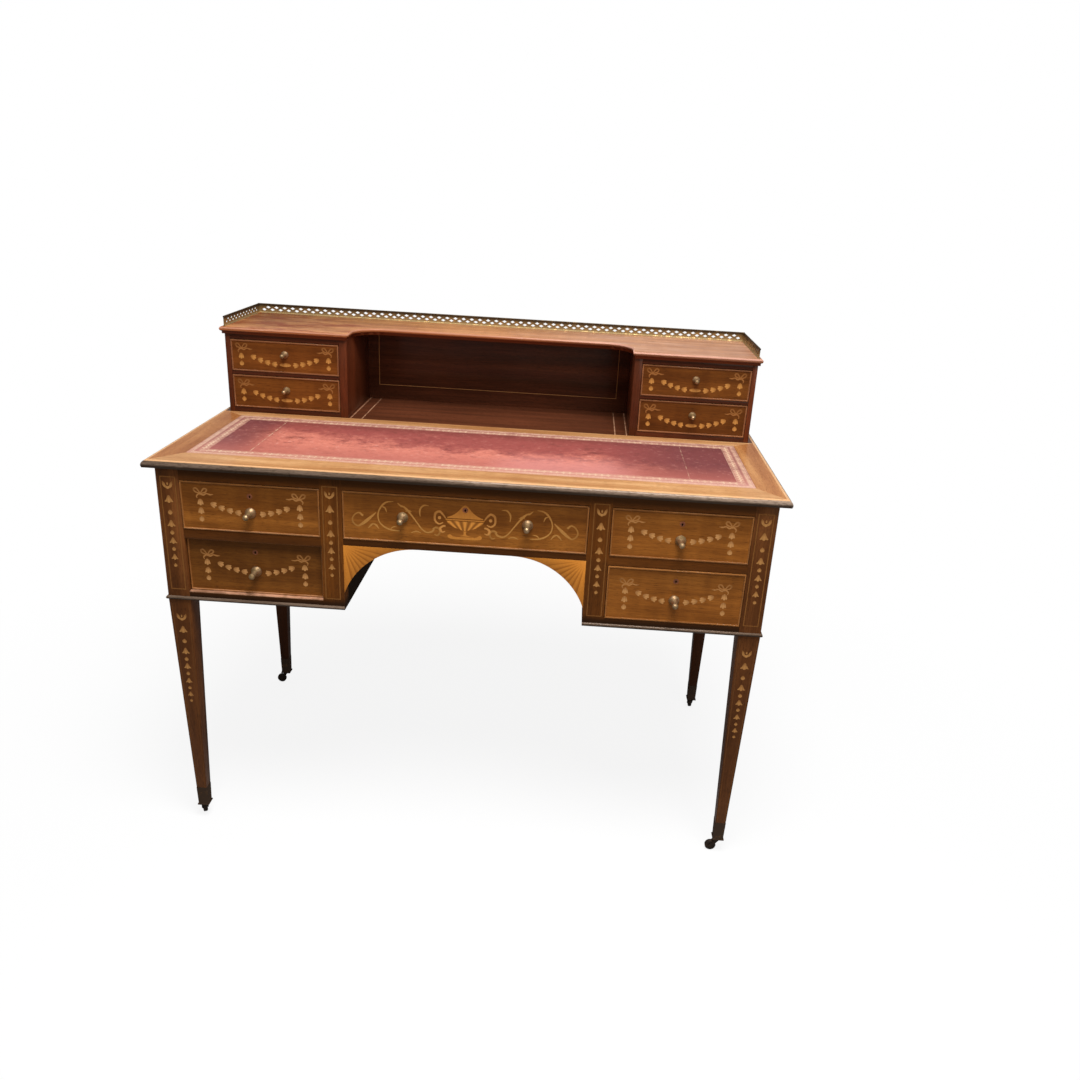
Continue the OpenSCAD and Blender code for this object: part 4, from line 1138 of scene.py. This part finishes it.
def inlay_wood(name, light, burnt, ribs=1.0, lobes=None):
    """Pale veneer, scorched towards its root and along its edges, with ribs engraved in it."""
    finish, start = new_finish(name)
    place = start.node("UVMap", {"uv_map": "shading"})
    point = start.node("TexCoord", output="Object")
    across = place.axis(0)
    up = place.axis(1)
    if lobes:
        burn = lobes(across, up)
    else:
        rib = abs((across * ribs).part() - 0.5)
        burn = up.rise(0.35, 1.0) * 0.55 + abs(across - 0.5) * 0.5 + rib.rise(0.38, 0.5) * 0.35
    fibre = point.noise((420.0, 420.0, 90.0), 2.0)
    colour = start.mixed(burn.least(1.0), light, burnt).blend((fibre - 0.4) * 0.5, burnt)
    shine = start.node("BsdfPrincipled", None, {
        "Base Color": colour, "Roughness": 0.36 + fibre * 0.1, "Specular IOR Level": 0.2,
        "Specular Tint": shellac, "Coat Weight": 0.06, "Coat Roughness": 0.16})
    end_finish(start, shine)
    return finish


def flowing(points, steps=5):
    """A smooth line through the points, from the first to the last."""
    ends = [points[0]] + list(points) + [points[-1]]
    line = []
    for a, b, c, d in zip(ends, ends[1:], ends[2:], ends[3:]):
        for step in range(steps):
            t = step / steps
            line.append(tuple(0.5 * (2 * q + (r - p) * t + (2 * p - 5 * q + 4 * r - s) * t * t
                                     + (3 * q - p - 3 * r + s) * t * t * t)
                              for p, q, r, s in zip(a, b, c, d)))
    return line + [points[-1]]


def whole(*lines):
    """Joins lines drawn down the left half of an outline, and closes it with their mirror image."""
    half = [point for line in lines for point in line[:-1]] + [lines[-1][-1]]
    return half + [(-x, y) for x, y in reversed(half[1:-1])]


def stroke(points, widths, steps=6):
    """The outline of a line through the points that swells and narrows as the widths say."""
    line = flowing(points, steps)
    last = len(line) - 1
    one_side, other_side = [], []
    for i, (x, y) in enumerate(line):
        before, after = line[max(i - 1, 0)], line[min(i + 1, last)]
        run = (after[0] - before[0], after[1] - before[1])
        length = math.hypot(*run)
        place = i / last * (len(widths) - 1)
        number = min(int(place), len(widths) - 2)
        half = (widths[number] + (place - number) * (widths[number + 1] - widths[number])) / 2
        one_side.append((x - run[1] / length * half, y + run[0] / length * half))
        other_side.append((x + run[1] / length * half, y - run[0] / length * half))
    return one_side + other_side[::-1]


def pattern(name, *outlines):
    """Saws pieces of veneer of one unit's size, and notes where each point lies on the whole."""
    sawn = [flat_shape(name, [outline], inlay_thickness) for outline in outlines]
    for number, part in enumerate(sawn):
        put(part, Matrix.Translation((0.0, 0.0, number % inlay_layers * inlay_step)))
    piece = joined(name, sawn)
    places = [vertex.co for vertex in piece.data.vertices]
    low = [min(place[i] for place in places) for i in (0, 1)]
    high = [max(place[i] for place in places) for i in (0, 1)]
    shading = piece.data.uv_layers.new(name="shading")
    for corner in piece.data.loops:
        place = piece.data.vertices[corner.vertex_index].co
        shading.data[corner.index].uv = [(place[i] - low[i]) / (high[i] - low[i]) for i in (0, 1)]
    return piece


def inlaid(piece, x, z, width, height, plane, turn=0.0):
    """Lets a copy of the pattern into an upright face, which it stands a hair proud of."""
    place = Matrix.Translation((x, plane - inlay_proud + inlay_thickness / 2, z)) @ stood_up
    size = Matrix.Diagonal((width, height, 1.0, 1.0))
    return cleaned(put(copy_of(piece, piece.name), place @ Matrix.Rotation(turn, 4, "Z") @ size))


husk = pattern("husk", whole(
    flowing([(0.0, 0.5), (-0.2, 0.43), (-0.34, 0.26), (-0.42, 0.02), (-0.5, -0.24)]),
    flowing([(-0.5, -0.24), (-0.40, -0.36), (-0.22, -0.28)]),
    flowing([(-0.22, -0.28), (-0.16, -0.42), (0.0, -0.5)])))
bell = pattern("bell", whole(
    flowing([(0.0, 0.5), (-0.15, 0.38), (-0.23, 0.14), (-0.34, -0.10), (-0.5, -0.32)]),
    flowing([(-0.5, -0.32), (-0.36, -0.38), (-0.2, -0.30)]),
    flowing([(-0.2, -0.30), (-0.14, -0.42), (0.0, -0.5)])))
bud = pattern("bud", whole(flowing([(0.0, 0.5), (-0.24, 0.34), (-0.46, 0.0), (-0.34, -0.34), (0.0, -0.5)])))
bow = pattern("bow",
              stroke([(0, 0), (-3, 5), (-7, 9.5), (-11.5, 8), (-9, 3), (0, 0)], [1.6, 2.8, 3.0, 1.6]),
              stroke([(0, 0), (3, 5), (7, 9.5), (11.5, 8), (9, 3), (0, 0)], [1.6, 2.8, 3.0, 1.6]),
              stroke([(0, 0), (5, -2.4), (11, 0.5), (17, -1), (23, -0.5)], [1.8, 3.0, 2.2, 2.8, 1.0]),
              stroke([(0, 0), (-4, -1.5), (-7, -5), (-6, -9)], [1.8, 2.8, 1.0]),
              arc((0.0, 0.0), 2.4, 0, 330, 11))
oval = pattern("oval", arc((0.0, 0.0), 0.5, 0, 345, 23))
husk_wood = inlay_wood("husk_wood", paint(204, 148, 90), paint(132, 82, 40), ribs=3.0)
ribbon_wood = inlay_wood("ribbon_wood", paint(180, 124, 70), paint(136, 88, 44))
small_husk_wood = inlay_wood("small_husk_wood", paint(194, 136, 70), paint(126, 78, 34), ribs=3.0)
small_ribbon_wood = inlay_wood("small_ribbon_wood", paint(150, 98, 52), paint(114, 70, 34))
swag_steps = (0.022, 0.0365, 0.051, 0.065)
swag_bend = 3.35
husk_size = (0.0112, 0.0118)
drop_husk_size = (0.0112, 0.0124)
bud_size = (0.0096, 0.0105)
oval_size = (0.0240, 0.0075)
oval_rise = 0.0012
bow_inward = 0.001
# For each drawer: the height of the swag's lowest point, how far from the middle the drops hang,
# the heights of their husks and bud, and the height of the bows.
swags = {}
for side in ("left", "right"):
    swags["upper_" + side] = (-0.0108, 0.0880, (0.0065, -0.0095, -0.0245), 0.0225)
    swags["lower_" + side] = (-0.0122, 0.0890, (0.0045, -0.0120, -0.0270), 0.0185)
    for level in ("upper_", "lower_"):
        swags["small_" + level + side] = (-0.0166, 0.0900, (-0.0015, -0.0165), 0.0140)
for drawer, (swag_low, drop_x, drop_heights, bow_height) in swags.items():
    front = Front(drawer)
    face = front.face
    pieces = []
    bows = []
    for side in (-1.0, 1.0):
        for step in swag_steps:
            z = front.z + swag_low + swag_bend * step * step
            turn = side * (math.atan(2 * swag_bend * step) - math.pi / 2)
            pieces.append(inlaid(husk, front.x + side * step, z, *husk_size, face, turn))
        end_x = front.x + side * drop_x
        for height in drop_heights[:-1]:
            pieces.append(inlaid(husk, end_x, front.z + height, *drop_husk_size, face))
        pieces.append(inlaid(bud, end_x, front.z + drop_heights[-1], *bud_size, face))
        bow_x = front.x + side * (drop_x - bow_inward)
        bows.append(inlaid(bow, bow_x, front.z + bow_height, -side * mm, mm, face))
    if drawer in small_drawers:
        pieces.append(inlaid(oval, front.x, front.z + swag_low + oval_rise, *oval_size, face))
        woods = (small_husk_wood, small_ribbon_wood)
    else:
        woods = (husk_wood, ribbon_wood)
    settle(joined(drawer + "_marquetry", pieces), drawer + "_drawer", "satinwood", woods[0])
    settle(joined(drawer + "_bows", bows), drawer + "_drawer", "satinwood", woods[1])

# Marquetry of the centre drawer: a covered urn on a curled foot with scrolled handles, between two
# stems that wind round the knobs and end in leaves and curls. The keyhole plate lies in the urn.
urn_foot = 0.10
urn_lip = 0.54


def urn_lobes(across, up):
    """Five lobes that spread from the foot to the lip of the bowl, and a lid darker than the bowl."""
    spread = (across - 0.5) / (up - urn_foot).most(0.03)
    lobe = abs((spread * 2.0).part() - 0.5).rise(0.05, 0.46)
    lid = up.rise(urn_lip, urn_lip + 0.01)
    bowl = (1 - lid) * up.rise(0.25, 0.26)
    return bowl * (1 - lobe) * 0.75 + lid * (0.34 + 0.30 * up.rise(urn_lip, 1.0)) + (1 - lid - bowl) * 0.25


urn_wood = inlay_wood("urn_wood", paint(222, 146, 64), paint(98, 50, 16), lobes=urn_lobes)
handle_wood = inlay_wood("handle_wood", paint(206, 142, 74), paint(140, 88, 40))
urn = pattern(
    "urn",
    whole(flowing([(0, 32), (-4.5, 29), (-9, 23.5), (-15, 17), (-23, 11.5), (-32, 8)]),
          [(-32, 8), (-31, 6.6), (0, 6.6)]),
    whole([(0, 4.9), (-34.5, 4.9)], [(-34.5, 4.9), (-34, 2.6), (0, 2.6)]),
    whole([(0, 1.2), (-33, 1.2)],
          flowing([(-33, 1.2), (-29, -4.5), (-19, -10.5), (-8, -14), (-3.5, -16)]),
          [(-3.5, -16), (0, -16)]),
    whole([(0, -17), (-3.2, -17)],
          flowing([(-3.2, -17), (-2.2, -20), (-3.2, -24), (-9, -26.6)]),
          [(-9, -26.6), (0, -26.6)]),
    whole([(0, -28), (-12, -28)],
          flowing([(-12, -28), (-20, -27.8), (-26, -24), (-30.5, -26.5), (-28, -31), (-18, -32.8)]),
          [(-18, -32.8), (0, -32.8)]))
handles = pattern(
    "handles",
    stroke([(34, 5.5), (39, 12.5), (45, 17.5), (52.5, 13), (53, 1), (46, -5.5), (38.5, -2.5)],
           [1.8, 3.6, 4.2, 4.0, 3.0, 1.6]),
    arc((45.0, 6.0), 3.0, 0, 330, 11),
    stroke([(34, -9), (39, -9.5), (43.5, -14), (40.5, -20.5), (34.5, -19)], [2.8, 3.8, 3.8, 1.6]))
scrolls = pattern(
    "scrolls",
    stroke([(112, 24.5), (103, 17.5), (93, 5.5), (85, -5.5), (77, -16.5), (68, -23), (59, -21.5), (54, -16)],
           [0.8, 4.4, 2.8, 2.2, 2.4, 2.6, 3.6, 3.6]),
    stroke([(57, -16), (51, -13), (45.5, -15), (44, -21.5), (48.5, -27.5), (54, -25.5)],
           [2.0, 3.8, 4.0, 3.6, 2.8, 1.4]),
    stroke([(119, 28), (112, 22.5), (106, 22.5)], [0.8, 3.2, 1.0]),
    stroke([(105, 13.5), (99, 15.5), (94, 13)], [0.8, 2.4, 0.6]),
    stroke([(64, 26.5), (73, 26.5), (79.5, 18), (79, 6)], [0.8, 3.0, 3.2, 0.8]),
    stroke([(95, -25.5), (86, -22.5), (77, -25)], [0.8, 2.8, 0.8]),
    stroke([(126, 30.5), (139, 28), (149, 17.5), (153.5, 4.5), (151.5, -8), (143.5, -17), (131, -22.5),
            (115, -23.5)], [0.8, 3.6, 2.2, 2.2, 3.2, 1.6]),
    stroke([(147, 20), (141, 17.5), (138, 10)], [1.0, 2.6, 0.8]),
    stroke([(132, -22), (127, -17), (120, -16)], [0.8, 2.2, 0.6]),
    stroke([(152, -22), (157, -15.5), (162, -13.5), (166, -16), (171, -22)], [0.8, 3.4, 2.4, 3.4, 0.8]),
    stroke([(157, 8), (164, 1), (172, -6.5), (180, -13.5), (189, -19.5)], [1.2, 3.8, 5.6, 5.0, 2.2]),
    stroke([(180, 0.5), (187, 6), (195, 1.5), (199, -7), (196, -15), (189, -19.5)],
           [4.0, 2.6, 2.6, 3.2, 2.2]))
scroll_wood = inlay_wood("scroll_wood", paint(192, 136, 70), paint(138, 87, 38))
front = Front("centre")
urn_piece = inlaid(urn, 0.0, front.z, mm, mm, front.face)
cut_away(urn_piece, plate_seat(front))
settle(urn_piece, "centre_drawer", "satinwood", urn_wood)
winding = []
curls = []
for side in (-1.0, 1.0):
    winding.append(inlaid(scrolls, 0.0, front.z, side * mm, mm, front.face))
    curls.append(inlaid(handles, 0.0, front.z, side * mm, mm, front.face))
settle(joined("centre_marquetry", winding), "centre_drawer", "satinwood", scroll_wood)
settle(joined("urn_handles", curls), "centre_drawer", "satinwood", handle_wood)

# Husk chains inlaid down the uprights and the front legs: a split tulip, then husks and buds by
# turns, smaller and smaller, with a light string round them.
chain_gaps = (0.0, 0.026, 0.0245, 0.0215, 0.017, 0.0155, 0.016, 0.0155, 0.016, 0.014, 0.0145)
chain_shrink = 0.035
tulip_size = (0.0182, 0.0150)
bell_size = (0.0168, 0.0152)
chain_bud_size = (0.0094, 0.0100)
upright_chain_length = 9
chain_top_z = 0.715
pilaster_x = 0.2385
post_x = 0.5235
string_low_z = 0.515
string_high_z = 0.731
pilaster_string = (0.2242, 0.2520)
post_string = (0.5085, 0.5365)
post_string_width = 0.0018
tulip = pattern("tulip",
                whole(flowing([(0.0, -0.18), (-0.19, -0.04), (-0.27, 0.26), (-0.5, 0.5)]),
                      flowing([(-0.5, 0.5), (-0.5, 0.12), (-0.34, -0.26), (0.0, -0.5)])),
                [(0.10 * x, 0.16 + 0.22 * y) for x, y in arc((0.0, 0.0), 0.8, 0, 345, 23)])
string_wood = wood("string_wood", "z", paint(152, 100, 50), paint(112, 70, 32), streak=0.6, shift=13.0)
chain_wood = inlay_wood("chain_wood", paint(188, 134, 76), paint(116, 70, 32), ribs=3.0)


def chain(x, top_z, count):
    """A tulip with husks and buds under it, each a little smaller than the one above."""
    pieces = []
    z = top_z
    for i, gap in enumerate(chain_gaps[:count]):
        z -= gap
        if i == 0:
            shape, (width, height) = tulip, tulip_size
        elif i % 2:
            shape, (width, height) = bell, bell_size
        else:
            shape, (width, height) = bud, chain_bud_size
        size = 1 - chain_shrink * i
        pieces.append(inlaid(shape, x, z, width * size, height * size, face_y))
    return pieces


def let_in(name, outlines):
    """A string let into the front of an upright, which it stands a hair proud of."""
    return upright_shape(name, outlines, face_y - inlay_proud, face_y - inlay_proud + inlay_thickness)


rings = []
chains = []
for side in (-1.0, 1.0):
    for middle, edges in ((pilaster_x, pilaster_string), (post_x, post_string)):
        chains += chain(side * middle, chain_top_z, upright_chain_length)
        x_low, x_high = sorted(side * edge for edge in edges)
        rings.append(let_in("string", framed(x_low, x_high, string_low_z, string_high_z, post_string_width)))
settle(joined("upright_marquetry", chains), "desk", "satinwood", chain_wood)
settle(joined("upright_strings", rings), "desk", "satinwood", string_wood)

# The same chains on the tapered part of the front legs, laid in the sloping face, with a string
# along each edge down to the brass foot.
leg_foot_z = 0.030
leg_foot_half = 0.0092
leg_half = 0.020
leg_taper = (leg_half - leg_foot_half) / (case_z - leg_foot_z)
leg_chain_top_z = 0.458
leg_string_in = 0.0045
leg_string_foot_in = leg_string_in * 0.6
leg_string_top_z = case_z - 0.008
cup_top_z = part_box("castor_cups")[1].z
leg_string_foot_z = cup_top_z + 0.004
cup_half = leg_foot_half + leg_taper * (cup_top_z - leg_foot_z)
leg_string_wood = wood("leg_string_wood", "z", paint(122, 76, 38), paint(90, 53, 26), streak=0.6,
                       shift=13.0)
sloping = (Matrix.Translation((0.0, face_y, case_z)) @ Matrix.Rotation(math.atan(leg_taper), 4, "X")
           @ Matrix.Translation((0.0, -face_y, -case_z)))
string_half = post_string_width / 2
leg_chains = []
leg_strings = []
for side in (-1.0, 1.0):
    leg_x = side * (case_x - leg_half)
    leg_chains += chain(leg_x, leg_chain_top_z, len(chain_gaps))
    for edge in (-1.0, 1.0):
        low_x = leg_x + edge * (cup_half - leg_string_foot_in)
        high_x = leg_x + edge * (leg_half - leg_string_in)
        leg_strings.append(let_in("leg_string", [[
            (low_x - string_half, leg_string_foot_z), (low_x + string_half, leg_string_foot_z),
            (high_x + string_half, leg_string_top_z), (high_x - string_half, leg_string_top_z)]]))
leg_inlay = (("leg_marquetry", leg_chains, chain_wood), ("leg_strings", leg_strings, leg_string_wood))
for name, pieces, finish in leg_inlay:
    piece = joined(name, pieces)
    piece.matrix_world = sloping @ piece.matrix_world
    settle(piece, "desk", "satinwood", finish)
for piece in (husk, bell, bud, bow, oval, urn, handles, scrolls, tulip):
    bpy.data.objects.remove(piece)

# Turned brass knobs: a broad domed rose, a neck that tapers from it, and a small ball at the end,
# with a threaded shank through the drawer front and a nut behind it.


def spun(name, outline, steps):
    """Turns a piece round the Y axis from its outline, given as radius and height towards the front."""
    bpy.ops.object.select_all(action="DESELECT")
    bpy.ops.mesh.primitive_plane_add(size=0.001, location=(0.0, 0.0, 0.0))
    piece = bpy.context.object
    piece.name = name
    bpy.ops.object.mode_set(mode="EDIT")
    bpy.ops.mesh.merge(type="CENTER")
    places = [Vector((radius, -height, 0.0)) for radius, height in outline]
    bpy.ops.transform.translate(value=places[0])
    for here, there in zip(places, places[1:]):
        bpy.ops.mesh.extrude_region_move(TRANSFORM_OT_translate={"value": there - here})
    bpy.ops.mesh.select_all(action="SELECT")
    bpy.ops.mesh.spin(steps=steps, angle=2 * math.pi, center=(0.0, 0.0, 0.0), axis=(0.0, 1.0, 0.0))
    bpy.ops.object.mode_set(mode="OBJECT")
    cleaned(piece, 0.00002)
    smooth(piece, 40.0)
    return piece


def knob_outline(ball, reach, rose, thickness):
    """From the shank's end, past the nut behind the drawer front's thickness, the rose and the neck,
    round the ball to its crown."""
    neck = rose * 0.40
    nut = 0.0045
    nut_back = -thickness - 0.0035
    shank = 0.0022
    shank_end = nut_back - 0.0015
    points = [(0.0, shank_end), (shank, shank_end), (shank, nut_back), (nut, nut_back), (nut, -thickness),
              (shank, -thickness), (shank, 0.0)]
    points += [(rose * across, reach * out) for across, out in (
        (1.0, 0.0), (1.0, 0.03), (0.985, 0.055), (0.94, 0.09), (0.87, 0.13), (0.79, 0.17), (0.71, 0.215),
        (0.63, 0.27), (0.56, 0.34), (0.50, 0.42), (0.455, 0.50), (0.42, 0.57))]
    points += arc((0.0, reach - ball), ball, -math.degrees(math.acos(neck / ball)), 90, 18)
    points[-1] = (0.0, reach)
    return points


knob_brass = metal("knob_brass", paint(190, 158, 120), paint(124, 99, 62), tarnish=0.6, gloss=0.46)
plate_brass = metal("plate_brass", paint(182, 112, 78), paint(126, 74, 50), tarnish=0.8, gloss=0.48)
desk_knob = spun("desk_knob", knob_outline(ball=0.0055, reach=0.031, rose=0.0098, thickness=0.020), 36)
small_knob = spun("small_knob", knob_outline(ball=0.0044, reach=0.0235, rose=0.0076, thickness=0.014), 32)
centre_knob_x = 0.110
centre_knob_rise = 0.002
bank_knob_drop = 0.008
small_knob_rise = 0.0055
for drawer in desk_drawers + small_drawers:
    front = Front(drawer)
    if drawer == "centre":
        knobs = [("centre_knob_left", -centre_knob_x, front.z + centre_knob_rise),
                 ("centre_knob_right", centre_knob_x, front.z + centre_knob_rise)]
    elif drawer in desk_drawers:
        knobs = [(drawer + "_ball_knob", front.x, front.z - bank_knob_drop)]
    else:
        knobs = [(drawer + "_ball_knob", front.x, front.z + small_knob_rise)]
    turned, node = (desk_knob, "_fittings") if drawer in desk_drawers else (small_knob, "_knob")
    for name, x, z in knobs:
        knob = put(copy_of(turned, name), Matrix.Translation((x, front.face, z)))
        settle(knob, drawer + "_drawer", "brass", knob_brass, drawer + node)
bpy.data.objects.remove(desk_knob)
bpy.data.objects.remove(small_knob)

# Each desk drawer's lock: a round brass keyhole plate let in flush at the front, and a steel case
# with four screws let in at the back, whose brass bolt shoots up into the rail.
lock_steel = metal("lock_steel", paint(134, 132, 128), paint(82, 74, 66), tarnish=0.6, gloss=0.36)
bolt_brass = metal("bolt_brass", paint(176, 148, 100), paint(112, 92, 58), tarnish=0.5, gloss=0.3)
plate_arris = 0.0003
lock_arris = 0.0004
bolt_size = (0.022, 0.005, 0.016)
bolt_gap = 0.0003
screw_radius = 0.0025
screw_height = 0.0012
screw_arris = 0.0005
screw_x = 0.021
screw_drops = (0.006, 0.030)
for drawer in desk_drawers:
    front = Front(drawer)
    body = drawer + "_drawer"
    fittings = drawer + "_fittings"
    plate = upright_shape(drawer + "_keyhole_plate", [plate_round(front), keyhole(front)], front.face,
                          front.face + plate_thickness)
    arris_off(plate, plate_arris)
    settle(plate, body, "brass", plate_brass, fittings)
    case_y = front.face + lock_skin
    case = block(drawer + "_lock_case", (front.x - lock_size[0] / 2, case_y, front.high - lock_size[2]),
                 (front.x + lock_size[0] / 2, case_y + lock_size[1], front.high))
    way_half = bolt_size[0] / 2 + bolt_gap
    bolt_y = case_y + (lock_size[1] - bolt_size[1]) / 2
    way = block("way", (front.x - way_half, bolt_y - bolt_gap, front.high - bolt_size[2] - 2 * bolt_gap),
                (front.x + way_half, bolt_y + bolt_size[1] + bolt_gap, front.high + tool_reach))
    cut_away(case, way)
    arris_off(case, lock_arris)
    screws = []
    for x in (front.x - screw_x, front.x + screw_x):
        for drop in screw_drops:
            bpy.ops.object.select_all(action="DESELECT")
            bpy.ops.mesh.primitive_cylinder_add(
                vertices=20, radius=screw_radius, depth=screw_height,
                location=(x, case_y + lock_size[1], front.high - drop), rotation=(math.pi / 2, 0.0, 0.0))
            screw = bpy.context.object
            arris_off(screw, screw_arris)
            bpy.ops.object.transform_apply()
            screws.append(screw)
    case = joined(drawer + "_lock_case", [case] + screws)
    settle(case, body, "steel", lock_steel, fittings)
    dress(drawer + "_bolt", bolt_brass)

# Brass cups on the feet of the legs, each with a narrow lip round its foot, and the castors in
# them: pin, plate, cheeks, axle and wheel. All have gone as brown as the wood.
foot_brass = metal("foot_brass", paint(112, 80, 52), paint(62, 44, 29), tarnish=0.95, gloss=0.46)
wheel_brass = metal("wheel_brass", paint(116, 88, 62), paint(46, 34, 25), tarnish=0.95, gloss=0.44)
cup_arris = 0.0003
castor_arris = 0.0003
wheel_arris = 0.0004
lip_top_z = leg_foot_z + 0.0026
lip_half = 0.0116
lip_reach = 0.02
lip_share = 0.90
cups = eased("castor_cups", "cups_on_feet", cup_arris)
for corner in corners:
    low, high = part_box(corner + "_leg")
    axis = Vector(((low.x + high.x) / 2, (low.y + high.y) / 2, lip_top_z))
    select_only(cups)
    bpy.ops.object.mode_set(mode="EDIT")
    bpy.ops.mesh.select_mode(type="VERT")
    bpy.ops.mesh.select_all(action="DESELECT")
    bpy.ops.object.mode_set(mode="OBJECT")
    for point in cups.data.vertices:
        across = max(abs(point.co.x - axis.x), abs(point.co.y - axis.y))
        point.select = lip_half < across < lip_reach and point.co.z < lip_top_z
    bpy.ops.object.mode_set(mode="EDIT")
    bpy.ops.transform.resize(value=(lip_share, lip_share, 1.0), center_override=axis)
    bpy.ops.mesh.select_mode(type="FACE")
    bpy.ops.object.mode_set(mode="OBJECT")
settle(cups, "desk", "old_brass", foot_brass, "castor_cups")
for corner in corners:
    castor = corner + "_castor"
    wheel = corner + "_wheel"
    made(castor, castor + "_frame", castor_arris, "old_brass", wheel_brass, castor)
    made(wheel, castor + "_wheel", wheel_arris, "old_brass", wheel_brass, wheel)
